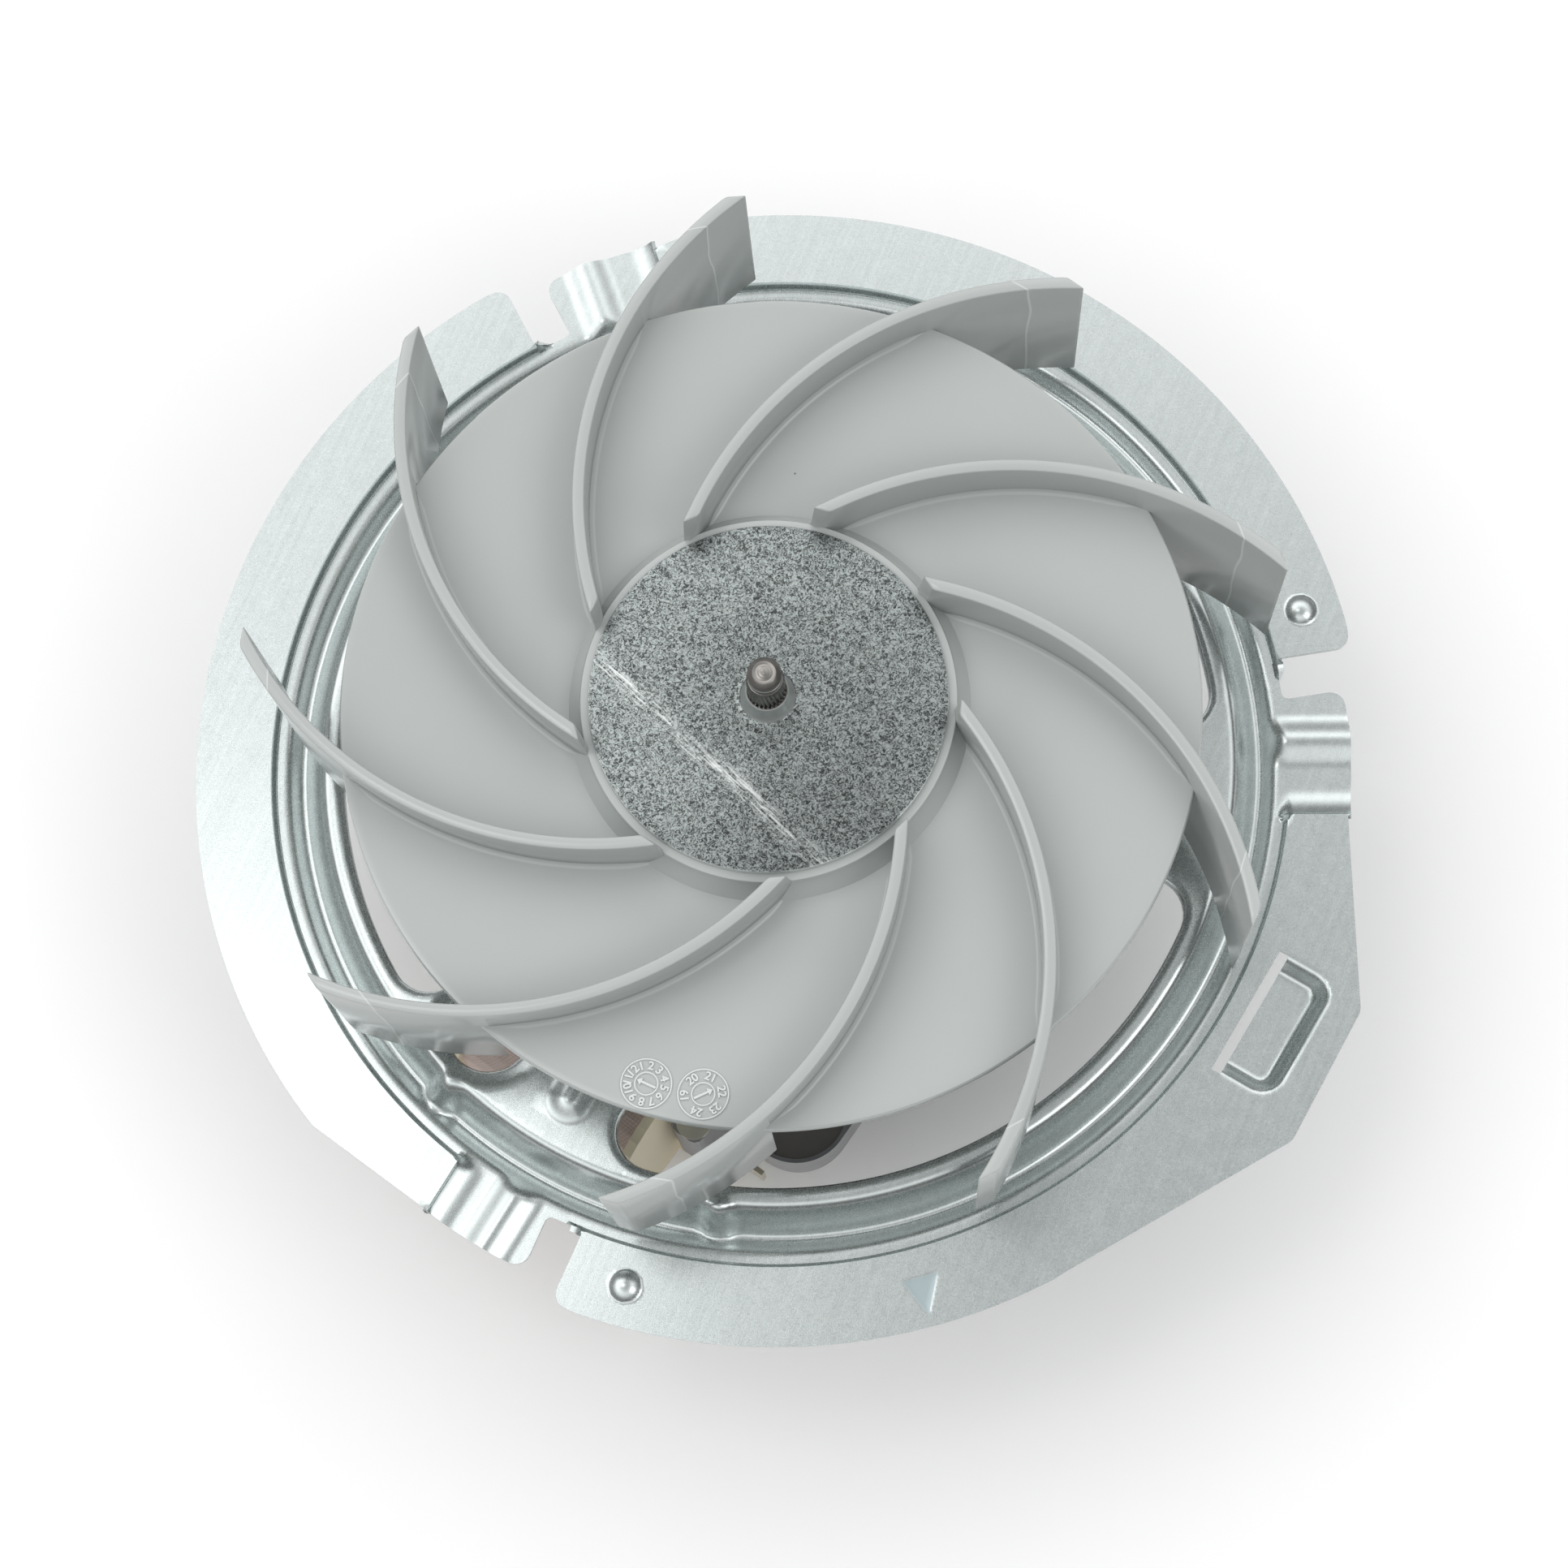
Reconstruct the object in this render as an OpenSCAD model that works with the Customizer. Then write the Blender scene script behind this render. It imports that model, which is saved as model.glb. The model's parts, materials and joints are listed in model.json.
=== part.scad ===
// Radial cooling fan: a nine-bladed wheel on the shaft of a shaded-pole motor, hung under a pressed plate.
// Z is the shaft axis. The flange's upper face lies in z = 0, and the fan rests on its motor below it.

/* [Wheel] */
// Diameter over the blade tips
wheel_d = 150; // [146:0.5:151]
// Number of blades
blade_n = 9; // [7:1:11]
// Thickness of a blade's wall
blade_t = 1.8; // [1.2:0.1:2.6]
// Radius of a blade's arc, at the middle of its wall
blade_arc_r = 57.5; // [54:0.5:62]
// Distance of that arc's centre from the shaft
blade_offset = 42.3; // [40:0.1:45]
// Height of the blades above the hub's seat
blade_rise = 5.8; // [4:0.1:8]
// Height of the blades' lower edges above the flange
blade_foot_z = 5.6; // [4.5:0.1:12]
// Slope of a blade's inner end, across its height
blade_lean = 1; // [0.4:0.1:2]
// Diameter of the wheel's disc
disc_d = 122.8; // [112:0.2:128]
// Thickness of the wheel's disc
disc_t = 2; // [1.4:0.1:2.6]
// Height of the disc's rim above its foot at the hub
disc_rise = 2.3; // [0.5:0.1:4]
// Height of the hub's seat above the flange
seat_z = 30; // [27:0.1:34]
// Height of the hub's ledge above the disc's foot
ledge_h = 3.6; // [3:0.1:5]
// Width of the ledge that shows round the hub disc
ledge_margin = 1.2; // [0.8:0.1:1.6]
// Width of the slope from the ledge to the disc
ledge_flare = 1.9; // [1:0.1:3]
// Diameter of the opening in the middle of the wheel
hub_bore_d = 30; // [20:1:36]

/* [Hub disc and shaft] */
// Diameter of the steel hub disc
hub_disc_d = 51.2; // [48:0.2:54]
// Thickness of the steel hub disc
hub_disc_t = 1; // [0.8:0.1:1.5]
// Height of the drawn collar above the hub disc
collar_h = 3.3; // [2:0.1:4.5]
// Wall of the drawn collar at its top
collar_wall = 0.4; // [0.3:0.05:0.8]
// Extra radius of the collar's foot
collar_flare = 0.55; // [0.2:0.05:1]
// Diameter of the shaft in its bushes
journal_d = 6; // [5.6:0.1:6.4]
// Diameter over the knurl
knurl_d = 5.5; // [5.2:0.1:5.5]
// Depth of the knurl's grooves
knurl_depth = 0.2; // [0.1:0.02:0.3]
// Number of ridges on the knurl
knurl_n = 30; // [20:1:36]
// Length of the knurl above the collar
knurl_show = 5.3; // [3:0.1:7]
// Diameter of the shaft's plain end
tip_d = 5; // [4.4:0.1:5]
// Length of the shaft's plain end
tip_len = 3.1; // [2.4:0.1:6]
// Chamfer on the shaft's end
tip_chamfer = 0.7; // [0.3:0.1:0.9]

/* [Mounting plate] */
// Thickness of the sheet
plate_t = 0.9; // [0.7:0.05:1.2]
// Outside diameter of the flange
flange_d = 176.4; // [174:0.2:180]
// Width of the flange, from its edge in to the line where it steps down
flange_w = 11.5; // [11:0.1:11.9]
// Depth of the shoulder and of the tabs below the flange
shoulder_drop = 2; // [1.4:0.1:2.6]
// Width of the shoulder
shoulder_w = 2.5; // [2:0.1:3]
// Depth of the valley below the flange
valley_drop = 3.5; // [3:0.1:4.2]
// Width of the valley's floor
valley_w = 1.4; // [0.8:0.1:1.8]
// Height of the plate's middle above the flange
middle_rise = 2.2; // [1.6:0.1:2.8]
// Width of the slope from the middle to the valley
middle_slope_w = 3.2; // [2.6:0.1:3.8]
// Width of the rim between the slope and the windows
window_rim = 2.9; // [2.3:0.1:4]
// Inner radius of the windows
window_in_r = 36; // [33:0.5:44]
// Radius of the windows' corners
window_corner_r = 5.5; // [3:0.5:7]
// Depth of the turned-down edge round a window
lip_depth = 2.4; // [1.6:0.1:3.4]
// Half widths of the three legs between the windows
leg_half = [11.4, 16, 12];
// Directions of the three legs
leg_at = [-17.2, -137.2, 102.8];
// Width of the notch at each tab
notch_w = 6; // [4.5:0.1:7]
// Radius of a notch's corners
notch_corner_r = 2.2; // [1:0.1:2.6]
// Height of the rib across each tab
tab_rib_h = 1.3; // [0.6:0.1:1.8]
// Width of the rib across each tab
tab_rib_w = 8; // [5:0.2:9]
// Radius of the hole in the wide leg
leg_hole_r = 6.2; // [4:0.1:7]
// Depth of the pocket pressed in the pull lug
lug_drop = 2.5; // [1.5:0.1:3.5]
// Radius of a locating dimple
dimple_r = 1.9; // [1.4:0.1:2.4]

/* [Motor] */
// Direction of the coil, seen from above
motor_at = -134; // [-140:1:-128]
// Distance from the flange down to the laminations
stack_z = 14; // [12:0.5:18]
// Height of the lamination stack
stack_h = 20; // [16:0.5:26]
// Width of the field at the rotor
field_w = 54; // [53:0.5:58]
// Diameter of the rotor
rotor_d = 30; // [26:0.5:31]
// Air gap round the rotor
air_gap = 0.35; // [0.3:0.05:0.5]
// Distance from the shaft to the middle of the coil
coil_x = 46; // [45:0.5:48]
// Width of the limb inside the coil
limb_w = 12; // [10:0.5:14]
// Half width and half height of the taped coil
coil_half = [17.5, 18];
// Length of the winding
coil_len = 29.4; // [26:0.2:29.6]
// Thickness of the tape round the coil
tape_t = 0.5; // [0.4:0.1:0.8]
// Thickness of the bobbin's flanges
bobbin_t = 1.5; // [1.2:0.1:1.7]
// Thickness of the bearing brackets' sheet
bracket_t = 1.2; // [1:0.1:1.6]
// Height of a bracket's bridge above the laminations
bracket_rise = 8; // [7.5:0.1:10]
// Width of a bearing bracket
bracket_w = 16; // [14:0.5:17]
// Distance of the motor screws from the shaft
screw_y = 22.5; // [21.5:0.1:23]
// Diameter of the motor screws
screw_d = 4; // [3:0.5:4]
// Diameter of a bush's ball
bush_d = 10.4; // [10:0.2:11]
// Height of a bush
bush_h = 7; // [6:0.2:7.4]
// Radial clearance of the shaft in a bush
bush_fit = 0.03; // [0.02:0.01:0.06]
// End play of the rotor at each bush
end_play = 0.3; // [0.2:0.05:0.5]

/* [Thermal cut-out] */
// Diameter of the cut-out's body
switch_d = 15.2; // [14:0.2:15.6]
// Height of the clip that holds it
switch_h = 10; // [8:0.5:12]
// Thickness of the clip
clip_t = 0.6; // [0.5:0.1:0.8]

/* [Hidden] */
$fn = 96;
// Cutters reach this far past what they cut
over = 1;

// Wheel
wheel_r = wheel_d / 2;
disc_r = disc_d / 2;
hub_disc_r = hub_disc_d / 2;
ledge_r = hub_disc_r + ledge_margin;
foot_r = ledge_r + ledge_flare;
foot_z = seat_z - ledge_h;
rim_z = foot_z + disc_rise;
blade_top_z = seat_z + blade_rise;
// Direction of the first blade's arc centre
blade_at = 34.9;
// Clear gap between the hub disc's edge and the blades' inner ends
blade_start_gap = 0.7;
// Steps in the disc's dished section
dish_steps = 6;

// Shaft, from the hub's seat upwards
collar_top_z = seat_z + hub_disc_t + collar_h;
knurl_top_z = collar_top_z + knurl_show;
shaft_top_z = knurl_top_z + tip_len;

// Mounting plate, from the flange inwards
flange_r = flange_d / 2;
step_r = flange_r - flange_w;
step_run = 0.4;
shoulder_in_r = step_r - shoulder_w;
valley_out_r = shoulder_in_r - 1.2;
valley_in_r = valley_out_r - valley_w;
middle_r = valley_in_r - middle_slope_w;
window_out_r = middle_r - window_rim;
middle_under_z = middle_rise - plate_t;
// Inner end of the tabs, on the shoulder, with the small step and overlap of the joint there
tab_in_r = shoulder_in_r + 0.6;
seam = 0.05;
lap = 0.2;
// For each tab: direction of its notch, direction and half length of the tab, radius of its edge
tabs = [
    [-0.4, -9.2, 9.5, flange_r - 2.2],
    [-122.7, -130.4, 7.9, flange_r - 2.8],
    [108.5, 100.45, 9, flange_r - 1.7]
];
// Straight edges of the flange beside the upper and the lower tab: normal direction and distance
top_line = [103.3, flange_r - 4];
low_line = [-135, flange_r - 2.9];
// Corners of the part of the flange that carries the pull lug, and where it leaves the circle
lug_line_end = -70.7;
lug_corners = [
    polar(flange_r - 0.15, lug_line_end), polar(flange_r + 6.97, -47.09), polar(flange_r + 6.13, -33.89)
];
right_corner = polar(flange_r - 2.64, -15.87);
lug_corner_r = 2.5;
// Pull lug: middle of its straight edge, outward direction, half lengths and depths of its rim and floor
lug_pos = polar(flange_r - 7.4, -38.77);
lug_at = -40.2;
lug_rim = [8.6, 10.5];
lug_floor = [5.9, 7.7];
lug_slot_w = 1.5;
leg_hole_pos = polar(window_out_r - 5.87, -144.42);
leg_boss_from = polar(window_out_r - 4.9, -128.84);
leg_boss_to = polar(window_out_r - 15.21, -128.78);
leg_boss_r = 3;
leg_boss_h = 1.5;
dimples = [polar(flange_r - 5.97, 6.49), polar(flange_r - 5.76, -114.36)];
dimple_h = 1.2;
mark_depth = 0.3;
mark_points = [for (p = [[-3.2, 1.94], [2.2, 2.54], [-0.1, -3.56]]) polar(flange_r - 5, -84) + p];
centre_hole_r = 10;

// Motor, with the coil along +X before it is turned to motor_at
stack_top = -stack_z;
stack_bottom = stack_top - stack_h;
stack_mid = (stack_top + stack_bottom) / 2;
rotor_r = rotor_d / 2;
bore_r = rotor_r + air_gap;
field_half = field_w / 2;
field_front = 24;
bobbin_gap = 0.8;
arm_in = coil_len / 2 + bobbin_t + bobbin_gap;
arm_w = 5.5;
arm_out = arm_in + arm_w;
arm_end = coil_x + limb_w / 2 + 2;
tenon_w = 6;
tenon_h = 2;
pole_notch_r = 3;
ring_wire = 2;
ring_gap = 0.1;
ring_x = [bracket_w / 2 + 2.6, bracket_w / 2 + 6.2];
ring_in = [14.6, 11.6];
ring_out = 23.4;
screw_r = screw_d / 2;
hole_fit = 0.1;
washer_t = 0.5;

// Bearing bracket, above its lamination face
cup_r = 7.8;
cup_in_r = cup_r - bracket_t;
seat_hole_r = 4.2;
bush_r = bush_d / 2;
seat_drop = sqrt(bush_r * bush_r - seat_hole_r * seat_hole_r);
bridge_under = bracket_rise - bracket_t;
bush_mid = bridge_under + seat_drop;
cup_inside = bush_mid + seat_drop;
cup_top = cup_inside + bracket_t;
bridge_half = 13;
foot_in = 18.4;
journal_r = journal_d / 2;
bush_bore_r = journal_r + bush_fit;
spacer_top = bush_mid - bush_h / 2 - end_play - washer_t;
base_z = stack_bottom - cup_top;

// Coil
winding_half = [coil_half.x - tape_t, coil_half.y - tape_t];
tube_wall = 1.3;
limb_fit = 0.2;
tube_half = [limb_w / 2 + limb_fit + tube_wall, stack_h / 2 + limb_fit + tube_wall];
coil_corner_r = 9;
flange_grow = 1;
skirt_half = 7;
block_out = 6.5;
block_h = 8;
blade_tab = [8, 6.3, 0.8];

// Thermal cut-out, beside the coil's end
switch_r = switch_d / 2;
switch_pos = [41, arm_out + 1 + clip_t + switch_r];
switch_top = -12;
clip_rivet = [field_front - 3.5, field_half - 4.8];
rivet_r = 1.5;
rivet_head_r = 2.6;
rivet_head_h = 0.8;
corner_rivet = field_half - 4.5;
arm_rivet = [arm_end - 2.6, arm_in + 3];
rivets = [
    [-corner_rivet, corner_rivet], [-corner_rivet, -corner_rivet], [clip_rivet.x, -clip_rivet.y],
    arm_rivet, [arm_rivet.x, -arm_rivet.y]
];

// A vector's direction, and the direction to its left
function unit(v) = v / norm(v);
function left(v) = [-v.y, v.x];
function polar(r, a) = r * [cos(a), sin(a)];
function flip(p) = [for (i = [len(p) - 1 : -1 : 0]) p[i]];

// Points of an arc, from one direction to another
function arc(c, r, from, to, n) = [for (i = [0 : n]) c + polar(r, from + (to - from) * i / n)];

// The arc that rounds corner q between p and s
function fillet(p, q, s, r, n = 6) =
    let (
        u = unit(p - q),
        w = unit(s - q),
        half = acos(u * w) / 2,
        c = q + unit(u + w) * r / sin(half),
        a = q + u * r / tan(half) - c,
        b = q + w * r / tan(half) - c,
        from = atan2(a.y, a.x),
        raw = atan2(b.y, b.x) - from,
        turn = raw > 180 ? raw - 360 : raw < -180 ? raw + 360 : raw
    )
    arc(c, r, from, from + turn, n);

// A closed outline with every corner rounded
function rounded(p, r, n = 6) =
    let (k = len(p))
    [for (i = [0 : k - 1]) each fillet(p[(i + k - 1) % k], p[i], p[(i + 1) % k], r, n)];

function box_points(w, h) = [[w, h] / 2, [-w, h] / 2, [-w, -h] / 2, [w, -h] / 2];

// A path moved sideways by t, and the closed wall between the two
function beside(p, t) = [
    for (i = [0 : len(p) - 1])
        let (
            before = i > 0 ? left(unit(p[i] - p[i - 1])) : left(unit(p[1] - p[0])),
            after = i < len(p) - 1 ? left(unit(p[i + 1] - p[i])) : before,
            middle = unit(before + after)
        )
        p[i] + middle * t / (middle * before)
];
function wall(p, t) = concat(p, flip(beside(p, t)));

// One window between two legs, grown by g on every side
function window_points(a, ha, b, hb, g = 0) =
    let (
        out_r = window_out_r + g,
        in_r = window_in_r - g,
        corner = window_corner_r + g,
        out_c = out_r - corner,
        in_c = in_r + corner,
        a_out = a + asin((ha - g + corner) / out_c),
        a_in = a + asin((ha - g + corner) / in_c),
        b_out = b - asin((hb - g + corner) / out_c),
        b_in = b - asin((hb - g + corner) / in_c)
    )
    concat(
        arc(polar(out_c, a_out), corner, a - 90, a_out, 6),
        [for (i = [1 : 15]) polar(out_r, a_out + (b_out - a_out) * i / 16)],
        arc(polar(out_c, b_out), corner, b_out, b + 90, 6),
        arc(polar(in_c, b_in), corner, b + 90, b_in + 180, 6),
        [for (i = [1 : 7]) polar(in_r, b_in + (a_in - b_in) * i / 8)],
        arc(polar(in_c, a_in), corner, a_in + 180, a + 270, 6)
    );

module window_shape(i, g = 0) {
    next = (i + 1) % 3;
    // Legs are listed clockwise, so each window runs from the next leg up to this one
    turn = leg_at[i] > leg_at[next] ? 0 : 360;
    polygon(window_points(leg_at[next] - turn, leg_half[next], leg_at[i], leg_half[i], g));
}

// Upper face of the plate along a radius
plate_path = [
    [0, middle_rise],
    [middle_r, middle_rise],
    [valley_in_r, -valley_drop],
    [valley_out_r, -valley_drop],
    [shoulder_in_r, -shoulder_drop],
    [step_r - step_run, -shoulder_drop],
    [step_r, 0],
    [flange_r + 12, 0]
];

function turned(p, a) = [p.x * cos(a) - p.y * sin(a), p.x * sin(a) + p.y * cos(a)];

// Where the straight line with that normal direction and distance crosses direction a
function line_at(line, a) = polar(line[1] / cos(a - line[0]), a);

// The direction, on one side of that normal, in which the line meets the flange's circle
function line_end(line, side) = line[0] + side * acos(line[1] / flange_r);

// A notch along +X, from the tab's edge to the flange's, with rounded corners
function notch_points(tab_r) =
    let (
        h = notch_w / 2,
        r = notch_corner_r,
        foot = step_r - 0.1,
        low = tab_r - 0.3,
        high = flange_r - 0.3
    )
    concat(
        arc([low - r, -h - r], r, 0, 90, 5),
        fillet([low, -h], [foot, -h], [foot, h], r),
        fillet([foot, -h], [foot, h], [high, h], r),
        arc([high - r, h + r], r, -90, 0, 5)
    );

// Direction of a tab's step
function tab_start(t) = t[1] - asin(t[2] / t[3]);

// The edge of one tab and its notch
function tab_points(t) =
    let (
        from = tab_start(t),
        to = t[0] - asin((notch_w / 2 + notch_corner_r) / t[3])
    )
    concat(
        [for (i = [0 : 5]) polar(t[3], from + (to - from) * i / 6)],
        [for (p = notch_points(t[3])) turned(p, t[0])]
    );

// The flange's circle between two directions, without its ends
function rim_points(from, to, n) = [for (i = [1 : n - 1]) polar(flange_r, from + (to - from) * i / n)];

// Direction in which a notch leaves the flange's circle
notch_side = asin((notch_w / 2 + notch_corner_r) / flange_r);

// Outline of the whole plate, seen from above, from the lug side's tab to the right
module plate_shape() {
    right = tabs[0];
    low = tabs[1];
    top = tabs[2];
    polygon(concat(
        tab_points(right),
        rim_points(right[0] + notch_side, line_end(top_line, -1), 40),
        [line_at(top_line, line_end(top_line, -1)), line_at(top_line, tab_start(top))],
        tab_points(top),
        rim_points(top[0] + notch_side, line_end(low_line, -1) + 360, 48),
        [line_at(low_line, line_end(low_line, -1)), line_at(low_line, tab_start(low))],
        tab_points(low),
        rim_points(low[0] + notch_side, lug_line_end, 24),
        [lug_corners[0]],
        fillet(lug_corners[0], lug_corners[1], lug_corners[2], lug_corner_r),
        fillet(lug_corners[1], lug_corners[2], right_corner, lug_corner_r),
        [right_corner]
    ));
}

// The room of one tab, from its step to the middle of its notch
module tab_room(t) {
    rotate(t[1])
        translate([tab_in_r, -t[2], -10])
            cube([30, 2 * t[2] + notch_w / 2, 20]);
}

// One tab: flat, rib and flat at the shoulder's depth, with the step up to the flange
module tab(t) {
    half = t[2];
    rib_mid = 0.1 * half;
    level = -shoulder_drop - seam;
    path = concat(
        [[half + notch_w / 2 + lap, level]],
        [
            for (i = [0 : 12])
                [rib_mid + tab_rib_w * (0.5 - i / 12), level + tab_rib_h * (1 - cos(30 * i)) / 2]
        ],
        [[-half - lap, level]]
    );
    intersection() {
        rotate(t[1])
            union() {
                translate([tab_in_r - lap, 0, 0])
                    rotate([90, 0, 90])
                        linear_extrude(20)
                            polygon(wall(path, plate_t));
                translate([step_r + lap, -half - plate_t / 2, level + seam - plate_t])
                    cube([20, plate_t, shoulder_drop + plate_t - seam]);
            }
        translate([0, 0, -10])
            linear_extrude(20)
                plate_shape();
    }
}

module lug_outline(size, z, h) {
    k = size.y;
    d = size.x;
    r = 0.45 * d;
    translate([0, 0, z])
        linear_extrude(h)
            polygon(concat(
                [[0, -k]],
                fillet([0, -k], [d, -k + 1], [d, 0], r),
                fillet([d, 0], [d, k - 1], [0, k], r),
                [[0, k]]
            ));
}

// The pressed pocket, and the room above its floor
module lug_pocket() {
    translate([lug_pos.x, lug_pos.y, 0])
        rotate(lug_at)
            hull() {
                lug_outline(lug_rim, -plate_t, plate_t);
                lug_outline(lug_floor, -lug_drop - plate_t, plate_t);
            }
}

module lug_room() {
    translate([lug_pos.x, lug_pos.y, 0]) {
        rotate(lug_at)
            hull() {
                lug_outline(lug_rim, 0, over);
                lug_outline(lug_floor, -lug_drop, plate_t / 2);
            }
        // The sheet is cut through along the straight edge
        rotate(lug_at)
            translate([-lug_slot_w, -lug_rim.y, -lug_drop - over])
                cube([lug_slot_w, 2 * lug_rim.y, lug_drop + 2 * over]);
    }
}

module leg_boss(grow, z, h) {
    along = leg_boss_to - leg_boss_from;
    a = atan2(along.y, along.x);
    translate([0, 0, z])
        linear_extrude(h)
            polygon(concat(
                arc(leg_boss_from, leg_boss_r + grow, a + 90, a + 270, 10),
                arc(leg_boss_to, leg_boss_r + grow, a - 90, a + 90, 10)
            ));
}

// Section of a dimple, from its flat top down the cap and back under the sheet's face
dimple_step = 15;
dimple_path = concat(
    [[0, dimple_h * cos(dimple_step)]],
    [for (a = [dimple_step : dimple_step : 90]) [dimple_r * sin(a), dimple_h * cos(a)]],
    [[dimple_r, -plate_t / 2], [0, -plate_t / 2]]
);

module mounting_plate() {
    color([0.72, 0.75, 0.76])
        difference() {
            union() {
                difference() {
                    intersection() {
                        rotate_extrude($fn = 180)
                            polygon(wall(plate_path, -plate_t));
                        translate([0, 0, -10])
                            linear_extrude(20)
                                plate_shape();
                    }
                    for (t = tabs) tab_room(t);
                }
                for (t = tabs) tab(t);
                for (i = [0 : 2])
                    translate([0, 0, middle_rise - lip_depth])
                        linear_extrude(lip_depth)
                            window_shape(i, plate_t);
                translate([leg_hole_pos.x, leg_hole_pos.y, middle_rise - lip_depth])
                    cylinder(r = leg_hole_r + plate_t, h = lip_depth);
                leg_boss(0, middle_rise - over / 2, leg_boss_h + over / 2);
                lug_pocket();
                for (d = dimples)
                    translate([d.x, d.y, 0])
                        rotate_extrude($fn = 48)
                            polygon(dimple_path);
            }
            for (i = [0 : 2])
                translate([0, 0, -10])
                    linear_extrude(20)
                        window_shape(i);
            translate([leg_hole_pos.x, leg_hole_pos.y, -10])
                cylinder(r = leg_hole_r, h = 20);
            leg_boss(-plate_t, -over, middle_rise + over + leg_boss_h - plate_t);
            lug_room();
            translate([0, 0, -mark_depth])
                linear_extrude(over)
                    polygon(mark_points);
            cylinder(r = centre_hole_r, h = 20, center = true);
            rotate(motor_at)
                for (s = [-1, 1])
                    translate([0, s * screw_y, 0])
                        cylinder(r = screw_r + hole_fit, h = 20, center = true);
        }
}

// Section of the wheel's disc and hub, from the bore outwards
disc_path = concat(
    [[hub_bore_d / 2, seat_z], [ledge_r, seat_z], [foot_r, foot_z]],
    [
        for (i = [1 : dish_steps])
            [foot_r + (disc_r - foot_r) * i / dish_steps,
                foot_z + disc_rise * pow(i / dish_steps, 1.1)]
    ]
);

// The arc wall of one blade, cut to its inner end and to the tip circle
module blade(k) {
    rotate(-360 / blade_n * k)
        difference() {
            intersection() {
                translate([0, 0, blade_foot_z])
                    cylinder(r = wheel_r, h = blade_top_z - blade_foot_z);
                rotate(blade_at)
                    translate([blade_offset, 0, 0])
                        difference() {
                            cylinder(r = blade_arc_r + blade_t / 2, h = blade_top_z);
                            translate([0, 0, -over])
                                cylinder(r = blade_arc_r - blade_t / 2, h = blade_top_z + 2 * over);
                        }
                // The half of the arc that trails from the hub to the tip
                rotate(blade_at)
                    translate([-wheel_r, 0, 0])
                        cube([2 * wheel_r, wheel_r, blade_top_z + over]);
            }
            // Room of the hub, sloped like the blades' inner ends
            translate([0, 0, seat_z])
                cylinder(
                    r1 = hub_disc_r + blade_start_gap,
                    r2 = hub_disc_r + blade_start_gap + blade_lean * (blade_rise + over) / blade_rise,
                    h = blade_rise + over
                );
            // Under the disc the blades stop at its rim
            translate([0, 0, -over])
                cylinder(r = disc_r - 0.8, h = rim_z - disc_t / 2 + over);
            cylinder(r = hub_disc_r + blade_start_gap, h = seat_z);
            // Inside the rim they stand on the disc
            translate([0, 0, -over])
                cylinder(r = foot_r + 4, h = foot_z - disc_t / 2 + over);
        }
}

module impeller() {
    color([0.77, 0.78, 0.77])
        union() {
            rotate_extrude($fn = 180)
                polygon(wall(disc_path, -disc_t));
            for (k = [0 : blade_n - 1]) blade(k);
        }
}

module hub_disc() {
    bore = knurl_d / 2;
    top = seat_z + hub_disc_t;
    color([0.62, 0.66, 0.65])
        rotate_extrude()
            polygon([
                [bore, seat_z],
                [hub_disc_r, seat_z],
                [hub_disc_r, top],
                [bore + collar_wall + collar_flare, top],
                [bore + collar_wall + 0.15, top + collar_h / 3],
                [bore + collar_wall, collar_top_z],
                [bore, collar_top_z]
            ]);
}

module shaft() {
    crest = knurl_d / 2;
    // The rolled ridges stay just under the pressed seat
    ridge = crest - 0.02;
    end_r = tip_d / 2;
    bottom = base_z + bracket_t;
    color([0.7, 0.69, 0.66])
        union() {
            translate([0, 0, bottom])
                cylinder(r = journal_r, h = seat_z - bottom);
            translate([0, 0, seat_z - over])
                cylinder(r = crest, h = collar_top_z - seat_z + over);
            translate([0, 0, collar_top_z - over / 2])
                linear_extrude(knurl_show + over / 2)
                    polygon([
                        for (i = [0 : 2 * knurl_n - 1])
                            polar(ridge - (i % 2) * knurl_depth, 180 * i / knurl_n)
                    ]);
            translate([0, 0, knurl_top_z - over / 2])
                cylinder(r = end_r, h = tip_len - tip_chamfer + over / 2);
            translate([0, 0, shaft_top_z - tip_chamfer])
                cylinder(r1 = end_r, r2 = end_r - tip_chamfer, h = tip_chamfer);
        }
}

// Square bar from a to b along one axis, as wide as the ring's wire
module ring_bar(x, y1, y2, z1, z2) {
    translate([x - ring_wire / 2, y1 - ring_wire / 2, z1])
        cube([ring_wire, y2 - y1 + ring_wire, z2 - z1]);
}

// One closed copper ring round the pole's trailing part
module shading_ring(x, y) {
    low = stack_bottom - ring_wire;
    high = stack_top + ring_wire;
    difference() {
        ring_bar(x, y, ring_out, low, high);
        translate([x - ring_wire, y + ring_wire / 2, stack_bottom])
            cube([2 * ring_wire, ring_out - y - ring_wire, stack_h]);
    }
}

module shading_rings() {
    color([0.72, 0.42, 0.26])
        rotate(motor_at)
            for (turn = [0, 180], i = [0, 1])
                rotate(turn)
                    shading_ring(-ring_x[i], ring_in[i]);
}

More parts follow.
